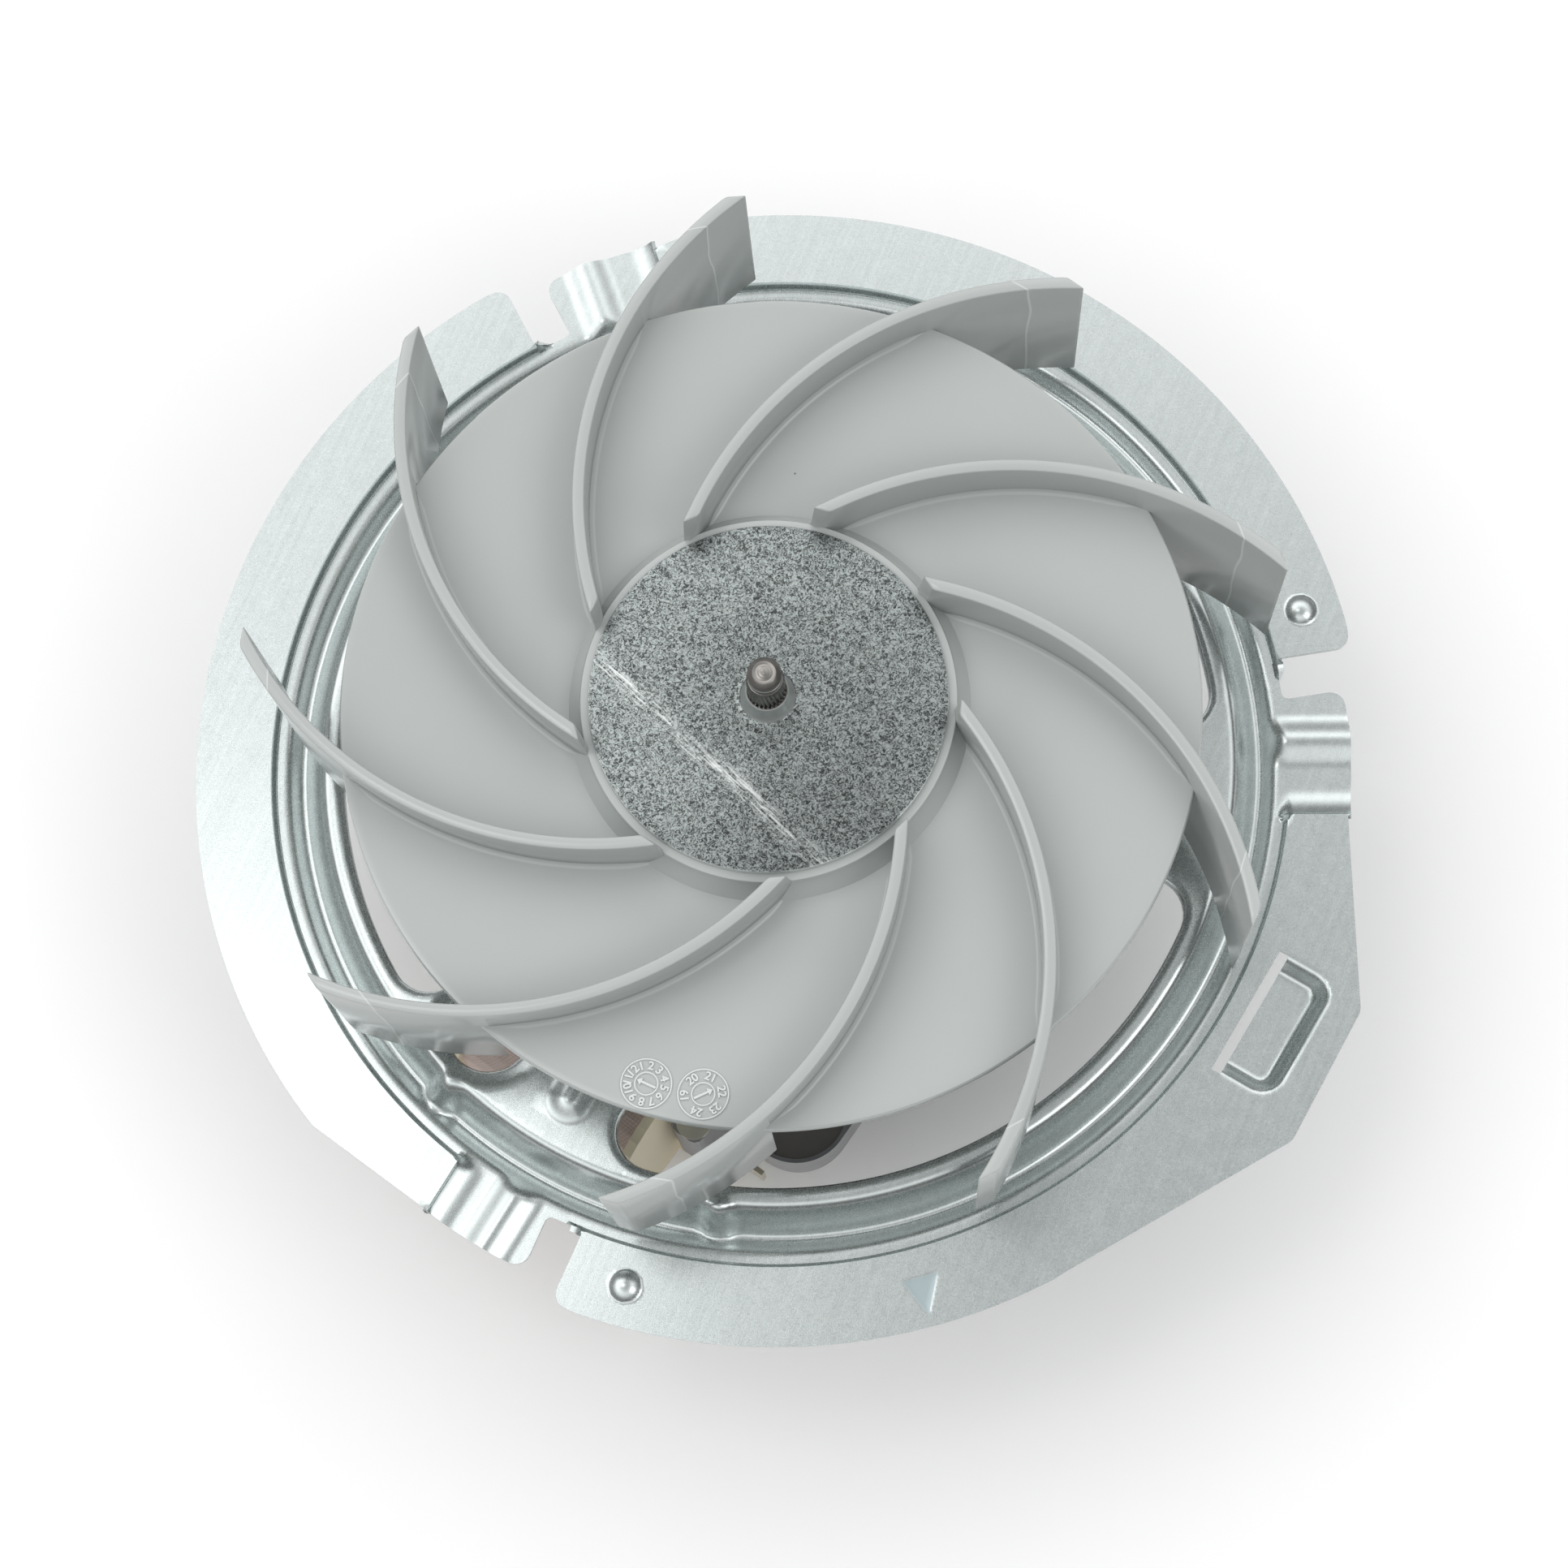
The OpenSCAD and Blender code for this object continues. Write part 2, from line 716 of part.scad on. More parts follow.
// Outline of the field laminations
module field_shape() {
    h = field_half;
    back = -field_half;
    difference() {
        polygon(rounded([
            [back, -h], [field_front, -h], [field_front, -arm_out], [arm_end, -arm_out],
            [arm_end, -arm_in], [field_front, -arm_in], [field_front, arm_in], [arm_end, arm_in],
            [arm_end, arm_out], [field_front, arm_out], [field_front, h], [back, h]
        ], 1.5, 3));
        circle(r = bore_r);
        // Thin bridges between the two poles
        for (s = [-1, 1])
            translate([s * (bore_r + pole_notch_r + 1), 0])
                circle(r = pole_notch_r);
        for (s = [-1, 1])
            translate([0, s * screw_y])
                circle(r = screw_r + hole_fit);
        for (turn = [0, 180], i = [0, 1], y = [ring_in[i], ring_out])
            rotate(turn)
                translate([-ring_x[i], y])
                    square(ring_wire + 2 * ring_gap, center = true);
        for (p = concat(rivets, [clip_rivet]))
            translate(p)
                circle(r = rivet_r);
        // Mortises that take the limb's ends
        for (s = [-1, 1])
            translate([coil_x, s * (arm_in + tenon_h / 2)])
                square([tenon_w, tenon_h + 0.01], center = true);
    }
}

module field_core() {
    color([0.45, 0.45, 0.46])
        rotate(motor_at)
            translate([0, 0, stack_bottom])
                linear_extrude(stack_h)
                    field_shape();
}

module coil_core() {
    color([0.45, 0.45, 0.46])
        rotate(motor_at)
            translate([coil_x, 0, stack_bottom])
                linear_extrude(stack_h)
                    union() {
                        square([limb_w, 2 * arm_in], center = true);
                        square([tenon_w, 2 * (arm_in + tenon_h)], center = true);
                    }
}

// A rounded ring round the limb, from one y to another
module coil_ring(outer, inner, y, len, corner, inner_corner) {
    translate([coil_x, y + len, stack_mid])
        rotate([90, 0, 0])
            linear_extrude(len)
                difference() {
                    polygon(rounded(box_points(2 * outer.x, 2 * outer.y), corner));
                    polygon(rounded(box_points(2 * inner.x, 2 * inner.y), inner_corner));
                }
}

module coil_winding() {
    color([0.74, 0.45, 0.28])
        rotate(motor_at)
            coil_ring(winding_half, tube_half, -coil_len / 2, coil_len, coil_corner_r - tape_t, 0.5);
}

module coil_tape() {
    color([0.8, 0.7, 0.66])
        rotate(motor_at)
            coil_ring(coil_half, winding_half, -coil_len / 2, coil_len, coil_corner_r,
                coil_corner_r - tape_t);
}

module coil_bobbin() {
    limb_room = [limb_w / 2 + limb_fit, stack_h / 2 + limb_fit];
    flange_half = [coil_half.x + flange_grow, coil_half.y + flange_grow];
    flange_y = coil_len / 2;
    skirt_top = stack_mid - flange_half.y + 4;
    block_y = flange_y + bobbin_t - 0.5;
    color([0.86, 0.83, 0.72])
        rotate(motor_at)
            union() {
                coil_ring(tube_half, limb_room, -flange_y, coil_len, 0.5, 0.3);
                for (y = [-flange_y - bobbin_t, flange_y]) {
                    coil_ring(flange_half, limb_room, y, bobbin_t, coil_corner_r + flange_grow, 0.3);
                    // The flange reaches down as a foot
                    translate([coil_x - skirt_half, y, base_z])
                        cube([2 * skirt_half, bobbin_t, skirt_top - base_z]);
                }
                // The terminal block, moulded on one foot
                translate([coil_x - skirt_half, block_y, stack_bottom - 2 - block_h])
                    cube([2 * skirt_half, block_out, block_h]);
            }
}

module terminal_tabs() {
    block_y = coil_len / 2 + bobbin_t - 0.5 + block_out;
    z = stack_bottom - 2 - block_h / 2;
    color([0.75, 0.72, 0.6])
        rotate(motor_at)
            for (s = [-1, 1])
                translate([coil_x + s * 3.6 - blade_tab.z / 2, block_y, z - blade_tab.y / 2])
                    cube([blade_tab.z, blade_tab.x, blade_tab.y]);
}

// A bearing bracket with its feet in z = 0 and its cup upwards
module bracket() {
    path = [
        [-field_half, bracket_t], [-foot_in, bracket_t], [-bridge_half, bracket_rise],
        [bridge_half, bracket_rise], [foot_in, bracket_t], [field_half, bracket_t]
    ];
    difference() {
        union() {
            translate([-bracket_w / 2, 0, 0])
                rotate([90, 0, 90])
                    linear_extrude(bracket_w)
                        polygon(wall(path, -bracket_t));
            translate([0, 0, bridge_under])
                cylinder(r = cup_r, h = cup_top - bridge_under);
        }
        translate([0, 0, bridge_under - over])
            cylinder(r = cup_in_r, h = cup_inside - bridge_under + over);
        cylinder(r = seat_hole_r, h = cup_top + over);
        for (s = [-1, 1])
            translate([0, s * screw_y, -over])
                cylinder(r = screw_r + hole_fit, h = bracket_t + 2 * over);
    }
}

// Places its children on the upper or the lower lamination face, with +Z away from the stack
module at_face(lower) {
    rotate(motor_at)
        translate([0, 0, lower ? stack_bottom : stack_top])
            rotate([lower ? 180 : 0, 0, 0])
                children();
}

module upper_bracket() {
    color([0.66, 0.68, 0.7])
        at_face(false)
            bracket();
}

module lower_bracket() {
    color([0.66, 0.68, 0.7])
        at_face(true)
            bracket();
}

// A ball-shaped bush with flat ends
module bush() {
    translate([0, 0, bush_mid])
        difference() {
            intersection() {
                sphere(r = bush_r, $fn = 64);
                cylinder(r = bush_r + over, h = bush_h, center = true);
            }
            cylinder(r = bush_bore_r, h = bush_h + over, center = true);
        }
}

module upper_bearing() {
    color([0.7, 0.5, 0.32])
        at_face(false)
            bush();
}

module lower_bearing() {
    color([0.7, 0.5, 0.32])
        at_face(true)
            bush();
}

// A flat ring on the shaft axis
module ring(inner, outer, z, h) {
    translate([0, 0, z])
        difference() {
            cylinder(r = outer, h = h);
            translate([0, 0, -over])
                cylinder(r = inner, h = h + 2 * over);
        }
}

module bearing_clips() {
    color([0.6, 0.62, 0.64])
        for (lower = [false, true])
            at_face(lower)
                ring(seat_hole_r, cup_r, bridge_under - 0.4, 0.4);
}

module oil_felts() {
    color([0.85, 0.82, 0.74])
        for (lower = [false, true])
            at_face(lower)
                ring(bush_r + 0.1, cup_in_r, bush_mid - 1.8, 3.6);
}

module thrust_washers() {
    color([0.5, 0.32, 0.2])
        for (lower = [false, true])
            at_face(lower)
                ring(journal_r, seat_hole_r - 0.2, spacer_top, washer_t);
}

module rotor_spacers() {
    color([0.78, 0.66, 0.36])
        for (lower = [false, true])
            at_face(lower)
                ring(journal_r, journal_r + 1.4, 0, spacer_top);
}

bar_n = 16;
bar_r = 1.1;
bar_at_r = rotor_r - bar_r - 0.7;
end_ring_h = 3;

module rotor_core() {
    color([0.42, 0.42, 0.43])
        translate([0, 0, stack_bottom])
            linear_extrude(stack_h)
                difference() {
                    circle(r = rotor_r);
                    circle(r = journal_r);
                    for (i = [0 : bar_n - 1])
                        translate(polar(bar_at_r, 360 / bar_n * i))
                            circle(r = bar_r, $fn = 24);
                }
}

module rotor_cage() {
    color([0.74, 0.75, 0.76])
        union() {
            for (i = [0 : bar_n - 1])
                translate(concat(polar(bar_at_r, 360 / bar_n * i), [stack_bottom - over / 2]))
                    cylinder(r = bar_r, h = stack_h + over, $fn = 24);
            for (lower = [false, true])
                at_face(lower)
                    ring(rotor_r - 5, rotor_r - 0.5, 0, end_ring_h);
        }
}

// Screw from the lower bracket's foot, through the stack and a sleeve, to the nut on the plate
nut_h = 3.2;
screw_head = [3.8, 2.6];

module motor_screws() {
    under = stack_bottom - bracket_t;
    color([0.7, 0.7, 0.68])
        rotate(motor_at)
            for (s = [-1, 1])
                translate([0, s * screw_y, under]) {
                    cylinder(r = screw_r, h = middle_rise + nut_h + 1 - under);
                    translate([0, 0, -screw_head[1]])
                        cylinder(r = screw_head[0], h = screw_head[1]);
                }
}

module screw_nuts() {
    color([0.7, 0.7, 0.68])
        rotate(motor_at)
            for (s = [-1, 1])
                translate([0, s * screw_y, middle_rise])
                    difference() {
                        cylinder(r = screw_d, h = nut_h, $fn = 6);
                        translate([0, 0, -over])
                            cylinder(r = screw_r, h = nut_h + 2 * over);
                    }
}

module spacer_sleeves() {
    low = stack_top + bracket_t;
    color([0.72, 0.74, 0.75])
        rotate(motor_at)
            for (s = [-1, 1])
                translate([0, s * screw_y, 0])
                    ring(screw_r + hole_fit, screw_r + 2, low, middle_under_z - low);
}

// Rivet through the stack, with what it clamps on top
module rivet(p, grip) {
    translate([p.x, p.y, stack_bottom])
        cylinder(r = rivet_r, h = stack_h + grip);
    for (z = [stack_bottom - rivet_head_h, stack_top + grip])
        translate([p.x, p.y, z])
            cylinder(r = rivet_head_r, h = rivet_head_h);
}

module core_rivets() {
    color([0.6, 0.61, 0.62])
        rotate(motor_at) {
            for (p = rivets) rivet(p, 0);
            rivet(clip_rivet, clip_t);
        }
}

module switch_body() {
    color([0.12, 0.12, 0.12])
        rotate(motor_at)
            translate([switch_pos.x, switch_pos.y, switch_top - switch_h])
                cylinder(r = switch_r, h = switch_h - 0.8);
}

module switch_tabs() {
    color([0.75, 0.72, 0.6])
        rotate(motor_at)
            for (s = [-1, 1])
                translate([switch_pos.x + s * 4 - blade_tab.z / 2, switch_pos.y, switch_top - switch_h])
                    translate([0, -blade_tab.y / 2, 1 - blade_tab.x])
                        cube([blade_tab.z, blade_tab.y, blade_tab.x - 1]);
}

// A band round the cut-out, led back to a rivet on the stack
module switch_clip() {
    low = switch_top - switch_h;
    side_y = switch_pos.y + switch_r;
    back_x = field_front - 6;
    color([0.5, 0.5, 0.5])
        rotate(motor_at)
            union() {
                translate([switch_pos.x, switch_pos.y, 0])
                    ring(switch_r, switch_r + clip_t, low, switch_h);
                translate([back_x, side_y, low])
                    cube([switch_pos.x - back_x, clip_t, switch_h]);
                translate([back_x, field_half + 0.5, low])
                    cube([clip_t, side_y - field_half, switch_h]);
                translate([back_x, field_half + 0.5, stack_top])
                    cube([5, 1.2, clip_t]);
                difference() {
                    translate([back_x, clip_rivet.y - 3, stack_top])
                        cube([5, field_half - clip_rivet.y + 4, clip_t]);
                    translate([clip_rivet.x, clip_rivet.y, stack_top - over])
                        cylinder(r = rivet_r, h = clip_t + 2 * over);
                }
            }
}

mounting_plate();
impeller();
hub_disc();
shaft();
field_core();
coil_core();
coil_bobbin();
coil_winding();
coil_tape();
terminal_tabs();
shading_rings();
upper_bracket();
lower_bracket();
upper_bearing();
lower_bearing();
bearing_clips();
oil_felts();
motor_screws();
screw_nuts();
spacer_sleeves();
core_rivets();
rotor_core();
rotor_cage();
rotor_spacers();
thrust_washers();
switch_body();
switch_clip();
switch_tabs();
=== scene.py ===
"""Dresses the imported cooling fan: smooth sheet, moulded wheel, finishes, stage, light and camera."""

import json
import logging
import math
from dataclasses import dataclass, field
from enum import Enum
from typing import Any, Callable, Iterable, Sequence

import bmesh
import bpy
import numpy as np
from mathutils import Matrix, Vector, kdtree
from mathutils.geometry import delaunay_2d_cdt


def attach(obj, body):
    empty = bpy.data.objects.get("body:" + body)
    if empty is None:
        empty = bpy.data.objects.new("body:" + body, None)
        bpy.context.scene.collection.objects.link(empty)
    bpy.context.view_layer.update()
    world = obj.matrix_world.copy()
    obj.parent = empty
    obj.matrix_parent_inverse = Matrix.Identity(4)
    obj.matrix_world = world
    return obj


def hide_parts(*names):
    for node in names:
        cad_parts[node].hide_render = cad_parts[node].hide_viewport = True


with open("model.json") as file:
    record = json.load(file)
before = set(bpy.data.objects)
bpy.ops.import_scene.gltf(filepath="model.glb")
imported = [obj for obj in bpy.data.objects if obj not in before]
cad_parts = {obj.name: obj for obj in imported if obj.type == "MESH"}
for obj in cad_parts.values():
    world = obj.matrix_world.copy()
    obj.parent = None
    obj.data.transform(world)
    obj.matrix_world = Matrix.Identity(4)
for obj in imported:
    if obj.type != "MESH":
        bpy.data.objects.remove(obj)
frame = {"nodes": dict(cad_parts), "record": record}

log = logging.getLogger("fan")

MM = 0.001
# Corners of the triangle that is stamped in the flange, in millimetres
MARK = ((5.5, -80.8), (8.6, -86.3), (10.9, -80.2))
# Numbers of a colour Mix node's sockets
MIX_FACTOR, MIX_A, MIX_B, MIX_OUT = 0, 6, 7, 2
# Vertices that are closer than this are one, in metres
WELD_GAP = 1e-7

Array = np.ndarray
Colour = tuple[float, float, float]
Shape = tuple[list[Sequence[float]], list[list[int]]]


class Body(Enum):
    """The two rigid bodies of the fan."""

    STATOR = "stator"
    ROTOR = "rotor"


# Plane geometry


def polar(r: float | Array, degrees: float | Array) -> Array:
    """Point at radius r in a direction."""
    a = np.radians(degrees)
    return np.stack(np.broadcast_arrays(r * np.cos(a), r * np.sin(a)), -1)


def turned(degrees: float) -> Array:
    """Two rows: the direction at this angle, and the one a quarter turn on."""
    a = math.radians(degrees)
    return np.array([[math.cos(a), math.sin(a)], [-math.sin(a), math.cos(a)]])


def local(x: Array, y: Array, degrees: float, origin: Sequence[float] = (0.0, 0.0)) -> tuple[Array, Array]:
    """Coordinates along a direction and a quarter turn on.

    Args:
        x: coordinates in millimetres.
        y: coordinates in millimetres.
        degrees: the direction.
        origin: where both are zero.

    Returns:
        The two new coordinates.
    """
    a = math.radians(degrees)
    dx, dy = x - origin[0], y - origin[1]
    return dx * math.cos(a) + dy * math.sin(a), dy * math.cos(a) - dx * math.sin(a)


def arc(centre: Sequence[float], r: float, start: float, end: float, n: int) -> list[Array]:
    """Points of an arc, both ends included."""
    return list(np.asarray(centre) + polar(r, np.linspace(start, end, n + 1)))


def circle(centre: Sequence[float], r: float, n: int) -> Array:
    """A closed circle of n points."""
    return np.array(arc(centre, r, 0, 360, n)[:-1])


def fillet(p: Sequence[float], q: Sequence[float], s: Sequence[float], r: float, n: int = 6) -> list[Array]:
    """The arc that rounds corner q between p and s.

    Args:
        p: the corner before.
        q: the corner that is rounded.
        s: the corner after.
        r: radius of the arc.
        n: number of steps.

    Returns:
        The points, in order.
    """
    p, q, s = (np.asarray(v, float) for v in (p, q, s))
    u, w = (p - q) / np.linalg.norm(p - q), (s - q) / np.linalg.norm(s - q)
    half = math.acos(float(u @ w)) / 2
    centre = q + (u + w) / np.linalg.norm(u + w) * r / math.sin(half)
    a, b = (q + v * r / math.tan(half) - centre for v in (u, w))
    start = math.degrees(math.atan2(a[1], a[0]))
    turn = (math.degrees(math.atan2(b[1], b[0])) - start + 180) % 360 - 180
    return arc(centre, r, start, start + turn, n)


def resample(loop: Iterable[Array], step: float) -> Array:
    """A closed outline with its long edges divided.

    Args:
        loop: the outline's corners.
        step: longest edge of the result, in millimetres.

    Returns:
        The points as an array of rows.
    """
    pts = np.array(list(loop))
    out = []
    for p, q in zip(pts, np.roll(pts, -1, 0)):
        n = max(1, math.ceil(np.linalg.norm(q - p) / step))
        if np.linalg.norm(q - p) > 1e-6:
            out.extend(p + (q - p) * i / n for i in range(n))
    return np.array(out)


def inside(points: Array, loop: Array) -> Array:
    """Which points lie inside a closed outline.

    Args:
        points: rows of x and y.
        loop: the outline's corners.

    Returns:
        One truth value for each point.
    """
    hit = np.zeros(len(points), bool)
    x, y = points[:, 0], points[:, 1]
    for (x1, y1), (x2, y2) in zip(loop, np.roll(loop, -1, 0)):
        if y1 != y2:
            hit ^= ((y1 > y) != (y2 > y)) & (x < (x2 - x1) * (y - y1) / (y2 - y1) + x1)
    return hit


def nearest(points: Array, targets: Sequence[Array]) -> Array:
    """Distance from each point to the nearest target.

    Args:
        points: rows of x and y.
        targets: arrays of rows of x and y.

    Returns:
        One distance for each point, in millimetres.
    """
    goals = np.concatenate(targets).tolist()
    tree = kdtree.KDTree(len(goals))
    for i, (x, y) in enumerate(goals):
        tree.insert((x, y, 0), i)
    tree.balance()
    return np.array([tree.find((x, y, 0))[2] for x, y in points.tolist()])


def smooth(x: Array, low: float = 0.0, high: float = 1.0) -> Array:
    """Smooth step from 0 at low to 1 at high."""
    t = np.clip((x - low) / (high - low), 0, 1)
    return t * t * (3 - 2 * t)


# Meshes


def link(name: str, data: bpy.types.ID) -> bpy.types.Object:
    """Makes an object and links it to the scene."""
    obj = bpy.data.objects.new(name, data)
    bpy.context.scene.collection.objects.link(obj)
    return obj


def mesh_object(name: str, verts: Array, faces: Sequence[Sequence[int]],
                flat_angle: float = 40.0) -> bpy.types.Object:
    """Makes a mesh object from millimetre coordinates.

    Args:
        name: name of the object.
        verts: rows of x, y and z in millimetres.
        faces: vertex numbers of each face.
        flat_angle: edges sharper than this stay sharp, in degrees.

    Returns:
        The object, linked to the scene.
    """
    mesh = bpy.data.meshes.new(name)
    mesh.from_pydata((np.asarray(verts) * MM).tolist(), [], [list(map(int, f)) for f in faces])
    mesh.validate()
    soften(mesh, flat_angle)
    return link(name, mesh)


def soften(mesh: bpy.types.Mesh, flat_angle: float) -> None:
    """Shades a mesh smooth, but for edges sharper than flat_angle degrees."""
    mesh.shade_smooth()
    mesh.set_sharp_from_angle(angle=math.radians(flat_angle))


def weld(obj: bpy.types.Object) -> None:
    """Joins doubled vertices and turns the faces outwards.

    Args:
        obj: a mesh object, which is changed.
    """
    bm = bmesh.new()
    bm.from_mesh(obj.data)
    bmesh.ops.remove_doubles(bm, verts=bm.verts, dist=WELD_GAP)
    bmesh.ops.recalc_face_normals(bm, faces=bm.faces)
    bm.to_mesh(obj.data)
    bm.free()


def bake(obj: bpy.types.Object, modifier: bpy.types.Modifier, flat_angle: float) -> bpy.types.Object:
    """Makes a modifier's result the object's own mesh.

    Args:
        obj: the object that carries the modifier.
        modifier: the modifier, with its inputs set.
        flat_angle: edges sharper than this stay sharp, in degrees.

    Returns:
        The same object with its new mesh.
    """
    graph = bpy.context.evaluated_depsgraph_get()
    mesh = bpy.data.meshes.new_from_object(obj.evaluated_get(graph))
    obj.modifiers.remove(modifier)
    old, obj.data = obj.data, mesh
    bpy.data.meshes.remove(old)
    weld(obj)
    soften(obj.data, flat_angle)
    return obj


def join(name: str, parts: Sequence[bpy.types.Object]) -> bpy.types.Object:
    """Makes one object from several meshes.

    Args:
        name: name of the result.
        parts: the objects, which are used up.

    Returns:
        The joined object.
    """
    bm = bmesh.new()
    for part in parts:
        bm.from_mesh(part.data)
    mesh = bpy.data.meshes.new(name)
    bm.to_mesh(mesh)
    bm.free()
    for part in parts:
        bpy.data.objects.remove(part)
    return link(name, mesh)


def strips(rows: int, columns: int, closed: bool = False, start: int = 0) -> list[list[int]]:
    """Four-cornered faces between rows of points.

    Args:
        rows: number of rows.
        columns: number of points in a row.
        closed: whether the end of a row meets its start.
        start: number of the first point.

    Returns:
        The vertex numbers of each face.
    """
    faces = []
    for i in range(rows - 1):
        a, b = start + i * columns, start + (i + 1) * columns
        for j in range(columns if closed else columns - 1):
            k = (j + 1) % columns
            faces.append([a + j, b + j, b + k, a + k])
    return faces


def revolve(name: str, profile: Sequence[Sequence[float]], steps: int = 192) -> bpy.types.Object:
    """Turns a closed section about Z.

    Args:
        name: name of the object.
        profile: rows of radius and height.
        steps: number of steps round the axis.

    Returns:
        The object.
    """
    prof = np.asarray(profile, float)
    a = np.linspace(0, 2 * np.pi, steps, endpoint=False)
    k = len(prof)
    x, y = np.outer(np.cos(a), prof[:, 0]), np.outer(np.sin(a), prof[:, 0])
    verts = np.stack([x, y, np.tile(prof[:, 1], (steps, 1))], -1).reshape(-1, 3)
    faces = [[v % len(verts) for v in face] for face in strips(steps + 1, k, True)]
    obj = mesh_object(name, verts, faces, 35)
    weld(obj)
    return obj


# Node sums


def plug(tree: bpy.types.NodeTree, socket: bpy.types.NodeSocket, value: Any) -> None:
    """Links a socket into an input, or sets a constant there.

    Args:
        tree: the node tree.
        socket: the input.
        value: a Sock, a socket, a number or a colour without its alpha.
    """
    if isinstance(value, Sock):
        tree.links.new(value.out, socket)
    elif isinstance(value, bpy.types.NodeSocket):
        tree.links.new(value, socket)
    elif socket.type == "RGBA":
        socket.default_value = (*value, 1)
    else:
        socket.default_value = value


def new_node(tree: bpy.types.NodeTree, kind: str, sockets: dict[str | int, Any] | None = None,
             **settings: Any) -> bpy.types.Node:
    """Adds a node.

    Args:
        tree: the node tree.
        kind: the node's type.
        sockets: values or links of its inputs, by name or number.
        settings: its settings, which are set first.

    Returns:
        The node.
    """
    node = tree.nodes.new(kind)
    for key, value in settings.items():
        setattr(node, key, value)
    for key, value in (sockets or {}).items():
        plug(tree, node.inputs[key], value)
    return node


def maths(tree: bpy.types.NodeTree, kind: str, *values: Any) -> "Sock":
    """Adds a Math node with these inputs."""
    return Sock(tree, new_node(tree, "ShaderNodeMath", dict(enumerate(values)), operation=kind).outputs[0])


@dataclass
class Sock:
    """A float socket that can stand in a sum."""

    tree: bpy.types.NodeTree
    out: bpy.types.NodeSocket

    def op(self, kind: str, *others: Any) -> "Sock":
        """Adds a Math node that starts with this socket."""
        return maths(self.tree, kind, self, *others)

    def __add__(self, other: Any) -> "Sock":
        """Sum with a socket or a number."""
        return self.op("ADD", other)

    def __radd__(self, other: Any) -> "Sock":
        """Sum that starts with a number."""
        return maths(self.tree, "ADD", other, self)

    def __sub__(self, other: Any) -> "Sock":
        """Difference from a socket or a number."""
        return self.op("SUBTRACT", other)

    def __rsub__(self, other: Any) -> "Sock":
        """Difference that starts with a number."""
        return maths(self.tree, "SUBTRACT", other, self)

    def __mul__(self, other: Any) -> "Sock":
        """Product with a socket or a number."""
        return self.op("MULTIPLY", other)

    def __rmul__(self, other: Any) -> "Sock":
        """Product that starts with a number."""
        return maths(self.tree, "MULTIPLY", other, self)

    def __truediv__(self, other: Any) -> "Sock":
        """Share of a socket or a number."""
        return self.op("DIVIDE", other)

    def __rtruediv__(self, other: Any) -> "Sock":
        """Share that starts with a number."""
        return maths(self.tree, "DIVIDE", other, self)

    def __pow__(self, other: Any) -> "Sock":
        """Power of this socket."""
        return self.op("POWER", other)

    def __rpow__(self, other: Any) -> "Sock":
        """Power of a number."""
        return maths(self.tree, "POWER", other, self)

    def clamp(self, low: float = 0.0, high: float = 1.0) -> "Sock":
        """Keeps the value between two limits."""
        return self.op("MAXIMUM", low).op("MINIMUM", high)

    def length(self, other: "Sock") -> "Sock":
        """Distance of the point with these two coordinates from the axis."""
        return (self * self + other * other) ** 0.5

    def step(self, low: float, high: float) -> "Sock":
        """Smooth step from 0 at low to 1 at high."""
        sockets = {"Value": self, "From Min": low, "From Max": high}
        node = new_node(self.tree, "ShaderNodeMapRange", sockets, interpolation_type="SMOOTHSTEP")
        return Sock(self.tree, node.outputs["Result"])


# Finishes


